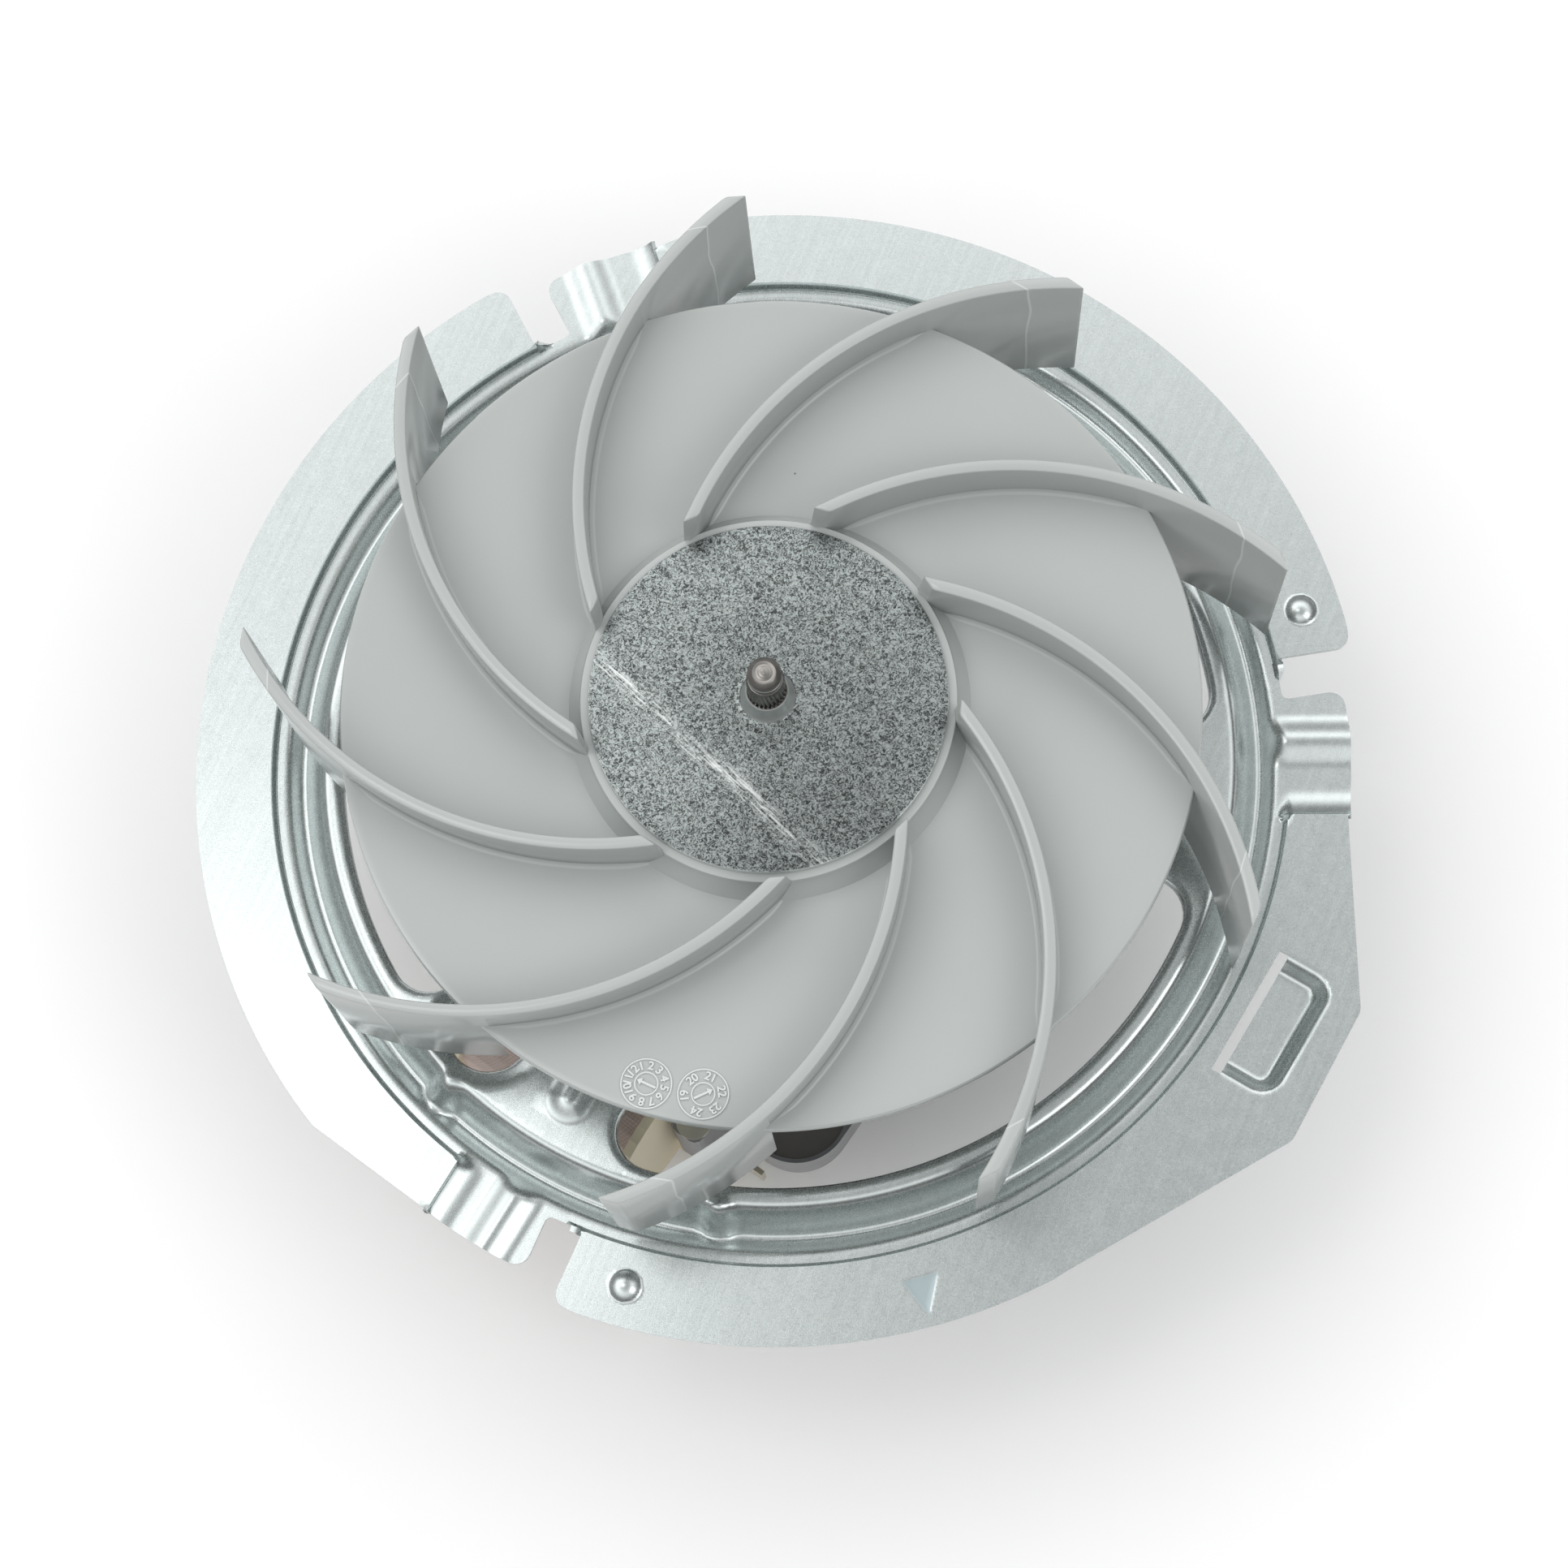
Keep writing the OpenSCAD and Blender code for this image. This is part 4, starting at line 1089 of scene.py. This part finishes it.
    def fields(self) -> Array:
        """Free points of the sheet: rings, and aligned grids where something is pressed into it.

        Returns:
            Rows of x and y.
        """
        bends = np.concatenate([np.arange(67.4, 76.2, 0.3), self.step_r + self.step_rows])
        rings = [polar(r, np.arange(self.ring_n) * 360 / self.ring_n) for r in bends]
        plain = [np.arange(12, 36, 2.2), np.arange(37, 64, 1.8), [64.6, 65.4, 66.2, 66.8]]
        plain += [np.arange(77.7, 87, 1.3), np.arange(89.2, 96, 1.3)]
        for i, r in enumerate(np.concatenate(plain)):
            n = int(2 * np.pi * r / 1.8)
            rings.append(polar(r, (np.arange(n) + 0.5 * (i % 2)) * 360 / n))
        free = np.concatenate(rings)
        small, hole = np.arange(-3, 3.1, 0.3), np.arange(-10.5, 10.6, 0.7)
        patches = [Patch(c, 0, small, small) for c in self.dimples]
        patches += [
            Patch((8.2, -83.2), 0, np.arange(-3.4, 3.5, 0.35), np.arange(-3.6, 3.7, 0.35)),
            Patch(self.leg_hole, 0, hole, hole),
            Patch((-34.7, -43.2), 0, np.arange(-7, 7.1, 0.45), np.arange(-8, 8.1, 0.45)),
            Patch(self.lug_pos, self.lug_at, np.arange(0.3, 10, 0.45), np.arange(-11.2, 11.3, 0.45)),
        ]
        for tab in self.tabs:
            rows = [-tab.half - self.step_rows[::-1], np.arange(-tab.half + 0.9, tab.half + 2, 0.42)]
            patches.append(Patch((0, 0), tab.at, np.arange(73.6, 89, 0.6), np.concatenate(rows)))
        for patch in patches:
            free = np.concatenate([free[~patch.covers(free)], patch.points()])
        return free

    def plain_holes(self) -> list[Array]:
        """Edges that aren't rolled: the bearing's hole, two screw holes and the lug's slot.

        Returns:
            The points of each edge.
        """
        holes = [circle((0, 0), self.bearing_r, 64)]
        for off in (-self.screw_y, self.screw_y):
            holes.append(circle(polar(off, self.motor_at + 90), self.screw_r, 32))
        w, h = self.slot_w, self.lug_size[1]
        corners = np.array([(0, -h), (0, h), (-w, h), (-w, -h)]) @ turned(self.lug_at) + self.lug_pos
        return holes + [resample(corners, 0.6)]

    def net(self, loops: list[Array]) -> tuple[Array, Array]:
        """Triangles that fill the sheet, still flat.

        Args:
            loops: the outer edge, and then the edge of every hole.

        Returns:
            Rows of x and y, and the three vertex numbers of each triangle.
        """

        def on_sheet(points: Array) -> Array:
            """Which points are inside the outer edge and in no hole."""
            return inside(points, loops[0]) & ~np.any([inside(points, hole) for hole in loops[1:]], 0)

        rows = [self.window(i, g) for i in range(3) for g in self.roll_rows]
        rows += [circle(self.leg_hole, self.leg_hole_r + g, 60) for g in self.roll_rows[:-1]]
        free = self.fields()
        free = np.concatenate([*rows, free[nearest(free, loops + rows) > self.clear]])
        edges, start = [], 0
        for loop in loops:
            edges += [(start + i, start + (i + 1) % len(loop)) for i in range(len(loop))]
            start += len(loop)
        pts = [Vector(p) for p in np.concatenate([*loops, free[on_sheet(free)]]).tolist()]
        verts, _, faces, *_ = delaunay_2d_cdt(pts, edges, [], 0, self.merge)
        flat, tris = np.array([tuple(v) for v in verts]), np.array(faces)
        tris = tris[on_sheet(flat[tris].mean(1))]
        b, c = (flat[tris[:, k]] - flat[tris[:, 0]] for k in (1, 2))
        # Slivers between points in line on an edge would turn its normals over
        return flat, tris[np.abs(b[:, 0] * c[:, 1] - b[:, 1] * c[:, 0]) > self.sliver]

    def build(self) -> bpy.types.Object:
        """The sheet as a mesh, thickened downwards.

        Returns:
            The plate's mesh object.
        """
        rolled = [self.window(i) for i in range(3)] + [circle(self.leg_hole, self.leg_hole_r, 48)]
        flat, tris = self.net([self.outline(), *rolled, *self.plain_holes()])
        d = nearest(flat, [resample(w, 0.25) for w in rolled])
        short = np.clip(self.roll - d, 0, self.roll)
        z = self.height(*flat.T) - self.roll + np.sqrt(np.maximum(self.roll**2 - short**2, 0))
        verts = np.column_stack([flat, z])
        # Rolled edges go on straight down as lips
        seen = {(int(p), int(q)) for k in range(3) for p, q in tris[:, [k, (k + 1) % 3]]}
        rim = [(p, q) for p, q in seen if (q, p) not in seen and d[p] < 0.05 and d[q] < 0.05]
        low = {p: len(verts) + i for i, p in enumerate(sorted({p for e in rim for p in e}))}
        fall = verts[sorted(low)] - [0, 0, self.lip_depth - self.roll]
        quads = [(q, p, low[p], low[q]) for p, q in rim]
        obj = mesh_object("pressed_plate", np.concatenate([verts, fall]), [*tris.tolist(), *quads], 50)
        shell = obj.modifiers.new("Sheet", "SOLIDIFY")
        shell.thickness = self.thickness * MM
        shell.offset = -1
        shell.use_even_offset = False
        return bake(obj, shell, 48)


# The wheel


@dataclass(frozen=True)
class Dial:
    """A plain date dial in the moulding: two rings, numbers between them and an arrow."""

    centre: tuple[float, float]
    labels: tuple[str, ...]
    first: float
    step: float
    arrow: float
    radius: float = 3.5
    inner: float = 1.6
    raised: float = 0.26
    line: float = 0.17
    sunk: float = -0.1
    number_size: float = 1.65
    number_fat: float = 0.04
    arrow_half: float = 0.16
    arrow_head: float = 0.7

    def ring(self, r: float) -> Shape:
        """A low ring with a square top.

        Args:
            r: its radius.

        Returns:
            Points and faces.
        """
        n, low, high, half = 64, self.sunk, self.raised, self.line / 2
        rows = ((r - 2 * half, low), (r - half, high), (r + half, high), (r + 2 * half, low))
        verts = [(*p, z) for rr, z in rows for p in polar(rr, np.arange(n) * 360 / n)]
        return verts, strips(len(rows), n, True)

    def arrow_shape(self) -> Shape:
        """The arrow, as a low flat shape.

        Returns:
            Points and faces.
        """
        w, tip = self.arrow_half, self.inner * 0.9
        neck, head = tip - self.arrow_head, 3.4 * w
        flat = np.array([(-tip, -w), (neck, -w), (neck, -head), (tip, 0), (neck, head), (neck, w), (-tip, w)])
        flat = flat @ turned(self.arrow)
        n = len(flat)
        verts = [(*p, z) for z in (self.sunk, self.raised) for p in flat]
        faces = [[i, (i + 1) % n, n + (i + 1) % n, n + i] for i in range(n)] + [list(range(n, 2 * n))]
        return verts, faces

    def number(self, label: str, angle: float) -> Shape:
        """One number, which reads outwards.

        Args:
            label: the number.
            angle: its direction from the dial's centre, in degrees.

        Returns:
            Points and faces.
        """
        curve = bpy.data.curves.new("number", "FONT")
        curve.body = label
        curve.size = self.number_size * MM
        curve.align_x = curve.align_y = "CENTER"
        curve.extrude = self.raised * MM
        curve.offset = self.number_fat * MM
        curve.resolution_u = 3
        obj = link("number", curve)
        graph = bpy.context.evaluated_depsgraph_get()
        mesh = bpy.data.meshes.new_from_object(obj.evaluated_get(graph))
        pts = np.array([v.co for v in mesh.vertices]) / MM
        flat = pts[:, :2] @ turned(angle - 90) + polar((self.radius + self.inner) / 2, angle)
        faces = [list(p.vertices) for p in mesh.polygons]
        bpy.data.objects.remove(obj)
        bpy.data.curves.remove(curve)
        bpy.data.meshes.remove(mesh)
        return [(*p, (z + self.raised) / 2) for p, z in zip(flat, pts[:, 2])], faces

    def build(self, height: Callable[[Array], Array]) -> bpy.types.Object:
        """The dial, laid on the disc.

        Args:
            height: gives the disc's height at a radius.

        Returns:
            The dial's mesh object.
        """
        shapes = [self.ring(self.radius), self.ring(self.inner), self.arrow_shape()]
        shapes += [self.number(label, self.first - self.step * i) for i, label in enumerate(self.labels)]
        verts, faces = [], []
        for more, rows in shapes:
            faces += [[len(verts) + i for i in row] for row in rows]
            verts += more
        pts = np.array(verts) + [*self.centre, 0]
        pts[:, 2] += height(np.hypot(pts[:, 0], pts[:, 1]))
        return mesh_object("dial", pts, faces, 20)


@dataclass
class Wheel:
    """The moulded wheel. Sizes in millimetres.

    The middle of a blade follows a circle of radius arc_r about a point at the distance offset from
    the axis. The first of these points lies in the direction at.
    """

    palette: Palette
    count: int = 9
    tip_r: float = 75.0
    arc_r: float = 57.5
    offset: float = 42.3
    at: float = 34.9
    wall: float = 1.8
    top_z: float = 35.8
    foot_z: float = 5.6
    seat_z: float = 30.0
    inner_r: float = 26.3
    lean: float = 1.0
    disc_r: float = 61.4
    disc_t: float = 2.0
    disc_edge: float = 0.5
    root_r: float = 28.7
    root_z: float = 26.4
    rise: float = 2.3
    dish: float = 1.1
    ledge_r: float = 26.8
    bore_r: float = 15.0
    edge: float = 0.32
    root_fillet: float = 0.9
    dials: tuple[Dial, ...] = (
        Dial((-25.1, -51.5), tuple(str(i) for i in range(1, 13)), 97.0, 30.0, 146.0),
        Dial((-17.55, -54.2), tuple(str(i) for i in range(19, 25)), 176.0, 59.0, 16.0),
    )

    def disc_z(self, r: Array | float) -> Array:
        """Height of the disc's upper face."""
        t = np.clip((np.asarray(r) - self.root_r) / (self.disc_r - self.root_r), 0, 1)
        return self.root_z + self.rise * t**self.dish

    def disc(self) -> bpy.types.Object:
        """Disc, slope and hub ledge, turned about the axis.

        Returns:
            The disc's mesh object.
        """
        seat, ledge, under = self.seat_z, self.ledge_r, self.disc_t
        rows = [(self.bore_r, seat), (ledge - 0.3, seat), (ledge - 0.1, seat - 0.08), (ledge, seat - 0.3)]
        for t in np.linspace(0.12, 1, 9):
            rows.append((ledge + (self.root_r - ledge) * t**1.6, seat - 0.3 - (seat - self.root_z - 0.3) * t))
        radii = np.linspace(self.root_r + 0.8, self.disc_r - self.disc_edge, 36)
        rows += list(zip(radii, self.disc_z(radii)))
        top, e = float(self.disc_z(self.disc_r)), self.disc_edge
        for a in (0.5, 1.0, math.pi / 2):
            rows.append((self.disc_r - e + e * math.sin(a), top - e + e * math.cos(a)))
        rows += [(self.disc_r, top - under + 0.4), (self.disc_r - 0.4, top - under)]
        rows += [(r, float(self.disc_z(r)) - under) for r in radii[::-3]]
        rows += [(self.root_r - 1.0, self.root_z - under), (ledge - 1.6, seat - under)]
        rows.append((self.bore_r, seat - under))
        return revolve("wheel_disc", rows, 256)

    def lattice(self) -> bpy.types.Object:
        """Net of one blade: stations along it, and a rounded section at each.

        Returns:
            The net, with what the node group needs stored on its points.
        """
        # Part of an edge's radius that the station halfway round it lies in
        mid = 0.293
        stations = [(0, 0, 0, 1, 1, 0), (0, 0, 0, 1, 0, 0), (0, 0, 0, mid, 0, mid), (0, 0, 0, 0, 0, 1)]
        stations += [(t, 0, 0, 0, 0, 0) for t in np.linspace(0.03, 1, 46)]
        stations += [(1, t, 1, 0, 0, 0) for t in np.linspace(0, 0.97, 20)]
        stations += [(1, 1, 1, 0, 0, -1), (1, 1, 1, mid, 0, -mid), (1, 1, 1, 1, 0, 0), (1, 1, 1, 1, 1, 0)]
        phi = (np.arange(16) + 0.5) * np.pi / 8
        k, n = len(phi), len(stations)
        obj = mesh_object("blades", np.zeros((n * k, 3)), strips(n, k, True))
        round_x, round_z = np.cos(phi), np.sin(phi)
        section = np.tile(np.column_stack([np.sign(round_x), np.sign(round_z), round_x, round_z]), (n, 1))
        names = ("inner", "outer", "beyond", "inset", "closed", "shift", "side", "lift", "round_x", "round_z")
        for name, values in zip(names, np.column_stack([np.repeat(stations, k, 0), section]).T):
            obj.data.attributes.new(name, "FLOAT", "POINT").data.foreach_set("value", values)
        return obj

    def rule(self) -> bpy.types.NodeTree:
        """Node group that bends the net into a blade and repeats it round the axis.

        Returns:
            The node group, with the wheel's sizes as defaults of its inputs.
        """
        tree = bpy.data.node_groups.new("Blade wheel", "GeometryNodeTree")
        sizes = {
            "Geometry": None, "Tip Radius": self.tip_r, "Arc Radius": self.arc_r, "Arc Offset": self.offset,
            "Wall": self.wall, "Top Height": self.top_z, "Foot Height": self.foot_z,
            "Seat Height": self.seat_z, "Inner Radius": self.inner_r, "Lean": self.lean,
            "Rim Radius": self.disc_r - 0.8, "Root Radius": self.root_r, "Root Height": self.root_z,
            "Dish": self.rise, "Edge": self.edge, "Count": self.count, "Material": None,
        }
        kinds = {"Geometry": "Geometry", "Count": "Int", "Material": "Material"}
        for name, value in sizes.items():
            kind = "NodeSocket" + kinds.get(name, "Float")
            socket = tree.interface.new_socket(name, in_out="INPUT", socket_type=kind)
            if value is not None:
                socket.default_value = value
        tree.interface.new_socket("Geometry", in_out="OUTPUT", socket_type="NodeSocketGeometry")
        given = new_node(tree, "NodeGroupInput")
        net, count, material = (given.outputs[k] for k in ("Geometry", "Count", "Material"))

        def size(name: str) -> Sock:
            """An input of the group."""
            return Sock(tree, given.outputs[name])

        def stored(name: str) -> Sock:
            """A value that is stored on the net."""
            node = new_node(tree, "GeometryNodeInputNamedAttribute", {"Name": name}, data_type="FLOAT")
            return Sock(tree, node.outputs["Attribute"])

        edge, inner, rim = size("Edge"), size("Inner Radius"), size("Rim Radius")
        root, seat, along = size("Root Radius"), size("Seat Height"), stored("inner")
        full, open_end = 1 - stored("inset"), 1 - stored("closed")
        across = (stored("side") * (size("Wall") * 0.5 - edge) + stored("round_x") * edge * full) * open_end
        flat_r = inner + along * (rim - inner)
        dish = ((flat_r - root) / (rim - root)).clamp() ** self.dish
        low = size("Root Height") + dish * size("Dish") - 0.8
        low = low + stored("beyond") * (size("Foot Height") - low)
        half = (size("Top Height") - low) * 0.5
        z = low + half + (stored("lift") * (half - edge) + stored("round_z") * edge * full) * open_end
        above = (z - seat).op("MAXIMUM", 0.0) / (size("Top Height") - seat)
        start = inner + above * size("Lean")
        r = start + along * (rim - start) + stored("outer") * (size("Tip Radius") - rim)
        r = r + stored("shift") * edge
        rho, d = size("Arc Radius") + across, size("Arc Offset")
        turn = ((r * r - d * d - rho * rho) / (2.0 * d * rho)).op("ARCCOSINE")
        place = new_node(tree, "ShaderNodeCombineXYZ", {
            "X": (d + rho * turn.op("COSINE")) * MM, "Y": rho * turn.op("SINE") * MM, "Z": z * MM,
        })
        moved = {"Geometry": net, "Position": place.outputs["Vector"]}
        bend = new_node(tree, "GeometryNodeSetPosition", moved)
        merge = {"Geometry": bend.outputs["Geometry"], "Distance": 1e-6}
        blade = new_node(tree, "GeometryNodeMergeByDistance", merge)
        points = new_node(tree, "GeometryNodePoints", {"Count": count})
        index = Sock(tree, new_node(tree, "GeometryNodeInputIndex").outputs["Index"])
        angle = math.radians(self.at) - index * (2 * math.pi) / size("Count")
        spin = new_node(tree, "ShaderNodeCombineXYZ", {"Z": angle})
        array = new_node(tree, "GeometryNodeInstanceOnPoints", {
            "Points": points.outputs["Points"], "Instance": blade.outputs["Geometry"],
            "Rotation": spin.outputs["Vector"],
        })
        real = new_node(tree, "GeometryNodeRealizeInstances", {"Geometry": array.outputs["Instances"]})
        paint = {"Geometry": real.outputs["Geometry"], "Material": material}
        done = new_node(tree, "GeometryNodeSetMaterial", paint)
        new_node(tree, "NodeGroupOutput", {"Geometry": done.outputs["Geometry"]})
        return tree

    def blades(self, material: bpy.types.Material) -> bpy.types.Object:
        """All blades, baked from the node group.

        Args:
            material: what the blades are made of.

        Returns:
            The blades as one object.
        """
        obj, tree = self.lattice(), self.rule()
        mod = obj.modifiers.new(tree.name, "NODES")
        mod.node_group = tree
        slot = next(i for i in tree.interface.items_tree if i.in_out == "INPUT" and i.name == "Material")
        mod[slot.identifier] = material
        return bake(obj, mod, 40)

    def fillets(self) -> bpy.types.Object:
        """Small concave strips where the blades stand on the disc.

        Returns:
            All strips as one object.
        """
        bow, radii = np.linspace(0, np.pi / 2, 5), np.linspace(self.inner_r + 0.6, self.disc_r - 1.2, 60)
        size = self.root_fillet * smooth(radii, self.inner_r, self.root_r + 2)
        size *= smooth(-radii, -self.disc_r, -self.disc_r + 4)
        up = (np.maximum(self.disc_z(radii), self.root_z) - 0.03)[:, None] + np.outer(size, 1 - np.sin(bow))
        verts, faces = [], []
        for k in range(self.count):
            for side in (-1, 1):
                rho = self.arc_r + side * (self.wall / 2 - 0.05 + np.outer(size, 1 - np.cos(bow)))
                c = (radii[:, None] ** 2 - self.offset**2 - rho**2) / (2 * self.offset * rho)
                flat = polar(rho, np.degrees(np.arccos(np.clip(c, -1, 1)))) + [self.offset, 0]
                quads = strips(len(radii), len(bow), start=len(verts))
                faces += quads if side < 0 else [quad[::-1] for quad in quads]
                verts += list(np.dstack([flat @ turned(self.at - 360 / self.count * k), up]).reshape(-1, 3))
        return mesh_object("blade_fillets", np.array(verts), faces, 60)

    def build(self) -> bpy.types.Object:
        """Disc, blades, fillets and dials as one piece.

        Returns:
            The wheel, painted, with the raised dials painted paler as a highlight.
        """
        parts = [self.disc(), self.blades(self.palette.get("wheel_plastic")), self.fillets()]
        plain = sum(len(p.data.polygons) for p in parts)
        obj = join("wheel", parts + [d.build(self.disc_z) for d in self.dials])
        # The dials' faces take the paler material, a painted highlight
        self.palette.paint(obj, "wheel_plastic", "dial_plastic_painted_highlight")
        raised = (np.arange(len(obj.data.polygons)) >= plain).astype(np.int32)
        obj.data.polygons.foreach_set("material_index", raised)
        return obj


# Hub disc and shaft


@dataclass
class HubDisc:
    """Steel disc with its drawn collar. Sizes in millimetres."""

    r: float = 25.6
    low: float = 30.0
    t: float = 1.0
    collar_h: float = 3.3
    bore: float = 2.76

    def build(self) -> bpy.types.Object:
        """The disc and its collar, turned about the axis.

        Returns:
            The disc's mesh object.
        """
        r, top = self.r, self.low + self.t
        end = top + self.collar_h
        rows = [(self.bore, self.low), (r - 0.15, self.low), (r, self.low + 0.15), (r, top - 0.25)]
        rows += [(r - 0.08, top - 0.08), (r - 0.25, top)]
        rows += [(5.6, top), (5.1, top - 0.02), (4.6, top - 0.01), (4.2, top + 0.03)]
        for t in np.linspace(0, 1, 10):
            rows.append((3.15 + 0.85 * (1 - t) ** 3, top + 0.1 + (self.collar_h - 0.35) * t))
        rows += [(3.08, end - 0.1), (2.95, end), (2.82, end - 0.05), (self.bore, end - 0.2)]
        return revolve("hub", rows, 256)


@dataclass
class Shaft:
    """Motor shaft with its knurl and turned end. Sizes in millimetres."""

    journal: float = 3.0
    low: float = -46.93
    seat: float = 30.0
    crest: float = 2.75
    depth: float = 0.34
    ridges: int = 26
    slant: float = 9.0
    knurl_low: float = 33.6
    knurl_high: float = 39.6
    end_r: float = 2.42
    top: float = 42.7

    def rings(self) -> list[tuple[float, float, float]]:
        """The shaft's section, from its lower end to its upper.

        Returns:
            Radius, height and depth of the ridges at each ring.
        """
        high, end, neck, top = self.knurl_high, self.end_r, self.end_r - 0.09, self.top
        rings = [(0, self.low, 0), (self.journal - 0.5, self.low, 0), (self.journal, self.low + 0.5, 0)]
        rings += [(self.journal, self.seat, 0), (self.crest, self.seat, 0), (self.crest, self.knurl_low, 0)]
        rings += [(self.crest, z, self.depth) for z in np.linspace(self.knurl_low + 0.05, high - 0.35, 9)]
        rings += [(self.crest - 0.3, high, 0), (2.2, high + 0.05, 0), (2.2, high + 0.35, 0)]
        rings += [(end, high + 0.5, 0), (end, high + 1.3, 0), (neck, high + 1.35, 0), (neck, high + 1.5, 0)]
        rings.append((end, high + 1.55, 0))
        rings += [(end, top - 0.75, 0), (1.75, top - 0.06, 0), (1.65, top, 0)]
        for i, r in enumerate((1.3, 1.2, 0.9, 0.8, 0.45, 0.35)):
            rings.append((r, top - (0.05 if i % 2 else 0), 0))
        return rings + [(0, top - 0.02, 0)]

    def build(self) -> bpy.types.Object:
        """The shaft as rings of points, with slanted ridges on the knurl.

        Returns:
            The shaft's mesh object.
        """
        steps = self.ridges * 8
        a, verts = np.arange(steps) * 2 * np.pi / steps, []
        for r, z, depth in self.rings():
            twist = math.radians(self.slant) * (z - self.knurl_low) / 3
            tooth = np.abs((self.ridges * (a + twist) / (2 * np.pi)) % 1 - 0.5) * 2
            rr = r - depth * np.clip(1.6 * tooth - 0.3, 0, 1)
            verts.append(np.stack([rr * np.cos(a), rr * np.sin(a), np.full(steps, z)], -1))
        faces = [(p, s, r, q) for p, q, r, s in strips(len(verts), steps, True)]
        obj = mesh_object("turned_shaft", np.concatenate(verts), faces, 30)
        weld(obj)
        return obj


# Motor and the rest


@dataclass
class Motor:
    """The CAD nodes that keep their own form, with softened edges."""

    flat_angle: float = 32.0
    corner_angle: float = 50.0
    chamfer: dict[str, float] = field(default_factory=lambda: {
        "coil_bobbin": 0.25, "switch_body": 0.3, "motor_screws": 0.3, "screw_nuts": 0.3, "core_rivets": 0.3,
    })

    def dress(self, palette: Palette, taken: set[str]) -> None:
        """Paints every CAD node that nothing replaces.

        Args:
            palette: the materials.
            taken: nodes that new pieces replace.
        """
        slots = {row["node"]: row["material_slot"] for row in frame["record"]["subparts"]}
        for name, obj in frame["nodes"].items():
            if name in taken:
                continue
            palette.paint(obj, slots[name])
            soften(obj.data, self.flat_angle)
            if name in self.chamfer:
                mod = obj.modifiers.new("Soft edges", "BEVEL")
                mod.width = self.chamfer[name] * MM
                mod.segments = 2
                mod.limit_method = "ANGLE"
                mod.angle_limit = math.radians(self.corner_angle)
            log.info("%s: the record's solid in %s", name, slots[name])


# Stage, light and camera


@dataclass
class Stage:
    """White table, soft light and the camera of the photo."""

    table_z: float = -48.1325
    table_half: float = 3000.0
    elevation: float = 74.88
    roll: float = -9.19
    distance: float = 488.8
    right: float = 0.26
    up: float = -4.5
    lens: float = 74.53
    sensor: float = 36.0
    low_light: float = 0.2
    high_light: float = 1.62
    dip: float = 1.12
    lamps: tuple[tuple[str, Colour, float, float], ...] = (
        ("Key", (-0.31, 0.17, 1.34), 0.32, 1.0), ("Fill", (0.9, -0.7, 1.2), 0.8, 4.0),
    )

    def floor(self) -> None:
        """Plain pale table with a trace of grain."""
        s = Surface("Table")
        s.put(Base_Color=s.blend(s.noise(0.02, 2), (0.93, 0.93, 0.93), (0.95, 0.95, 0.95)), Roughness=0.7)
        h, z = self.table_half, self.table_z
        obj = mesh_object("table", np.array([(-h, -h, z), (h, -h, z), (h, h, z), (-h, h, z)]), [(0, 1, 2, 3)])
        obj.data.materials.append(s.material)

    def light(self) -> None:
        """A room that is bright overhead and dark low down, and two soft boxes."""
        world = bpy.data.worlds.new("Studio")
        bpy.context.scene.world = world
        world.use_nodes = True
        tree = world.node_tree
        where = new_node(tree, "ShaderNodeTexCoord").outputs["Generated"]
        split = new_node(tree, "ShaderNodeSeparateXYZ", {"Vector": where})
        x, y, z = (Sock(tree, split.outputs[k]) for k in "XYZ")
        dome = self.low_light + (self.high_light - self.low_light) * z.step(0.3, 0.75)
        dome = dome - self.dip * z.step(0.8, 1.0)
        back = tree.nodes["Background"]
        plug(tree, back.inputs["Color"], (1, 1, 1))
        plug(tree, back.inputs["Strength"], dome * (1 - x * 0.35 + y * 0.4))
        for name, pos, size, power in self.lamps:
            lamp = bpy.data.lights.new(name, "AREA")
            lamp.shape = "SQUARE"
            lamp.size = size
            lamp.energy = power
            obj = link(name, lamp)
            obj.location = pos
            obj.rotation_mode = "QUATERNION"
            obj.rotation_quaternion = Vector(pos).to_track_quat("Z", "Y")

    def camera(self) -> None:
        """Camera at the photo's place, from the fit to the photo's circles."""
        e, r = math.radians(self.elevation), math.radians(self.roll)
        ahead = Vector((0, math.cos(e), -math.sin(e)))
        level, rise = Vector((1, 0, 0)), Vector((0, math.sin(e), math.cos(e)))
        right = level * math.cos(r) + rise * math.sin(r)
        up = rise * math.cos(r) - level * math.sin(r)
        pos = (-ahead * self.distance + level * self.right + rise * self.up) * MM
        data = bpy.data.cameras.new("Camera")
        data.lens = self.lens
        data.sensor_width = self.sensor
        obj = link("Camera", data)
        obj.matrix_world = Matrix.Translation(pos) @ Matrix((right, up, -ahead)).transposed().to_4x4()
        bpy.context.scene.camera = obj

    def build(self) -> None:
        """Sets up everything round the fan."""
        self.floor()
        self.light()
        self.camera()
        bpy.context.scene.view_settings.view_transform = "Standard"


def main() -> None:
    """Builds the fan and its stage."""
    logging.basicConfig(level=logging.INFO)
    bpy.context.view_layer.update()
    palette = Palette()
    makers = (
        (Plate(), "plate_steel", Body.STATOR, "mounting_plate"),
        (Wheel(palette), "wheel_plastic", Body.ROTOR, "impeller"),
        (HubDisc(), "disc_steel", Body.ROTOR, "hub_disc"),
        (Shaft(), "shaft_steel", Body.ROTOR, "shaft"),
    )
    for maker, slot, body, node in makers:
        piece = maker.build()
        dress(piece, palette, slot, body, node)
        log.info("%s: %d faces in %s", node, len(piece.data.polygons), slot)
    Motor().dress(palette, {node for *_, node in makers})
    Stage().build()


if __name__ == "__main__":
    main()
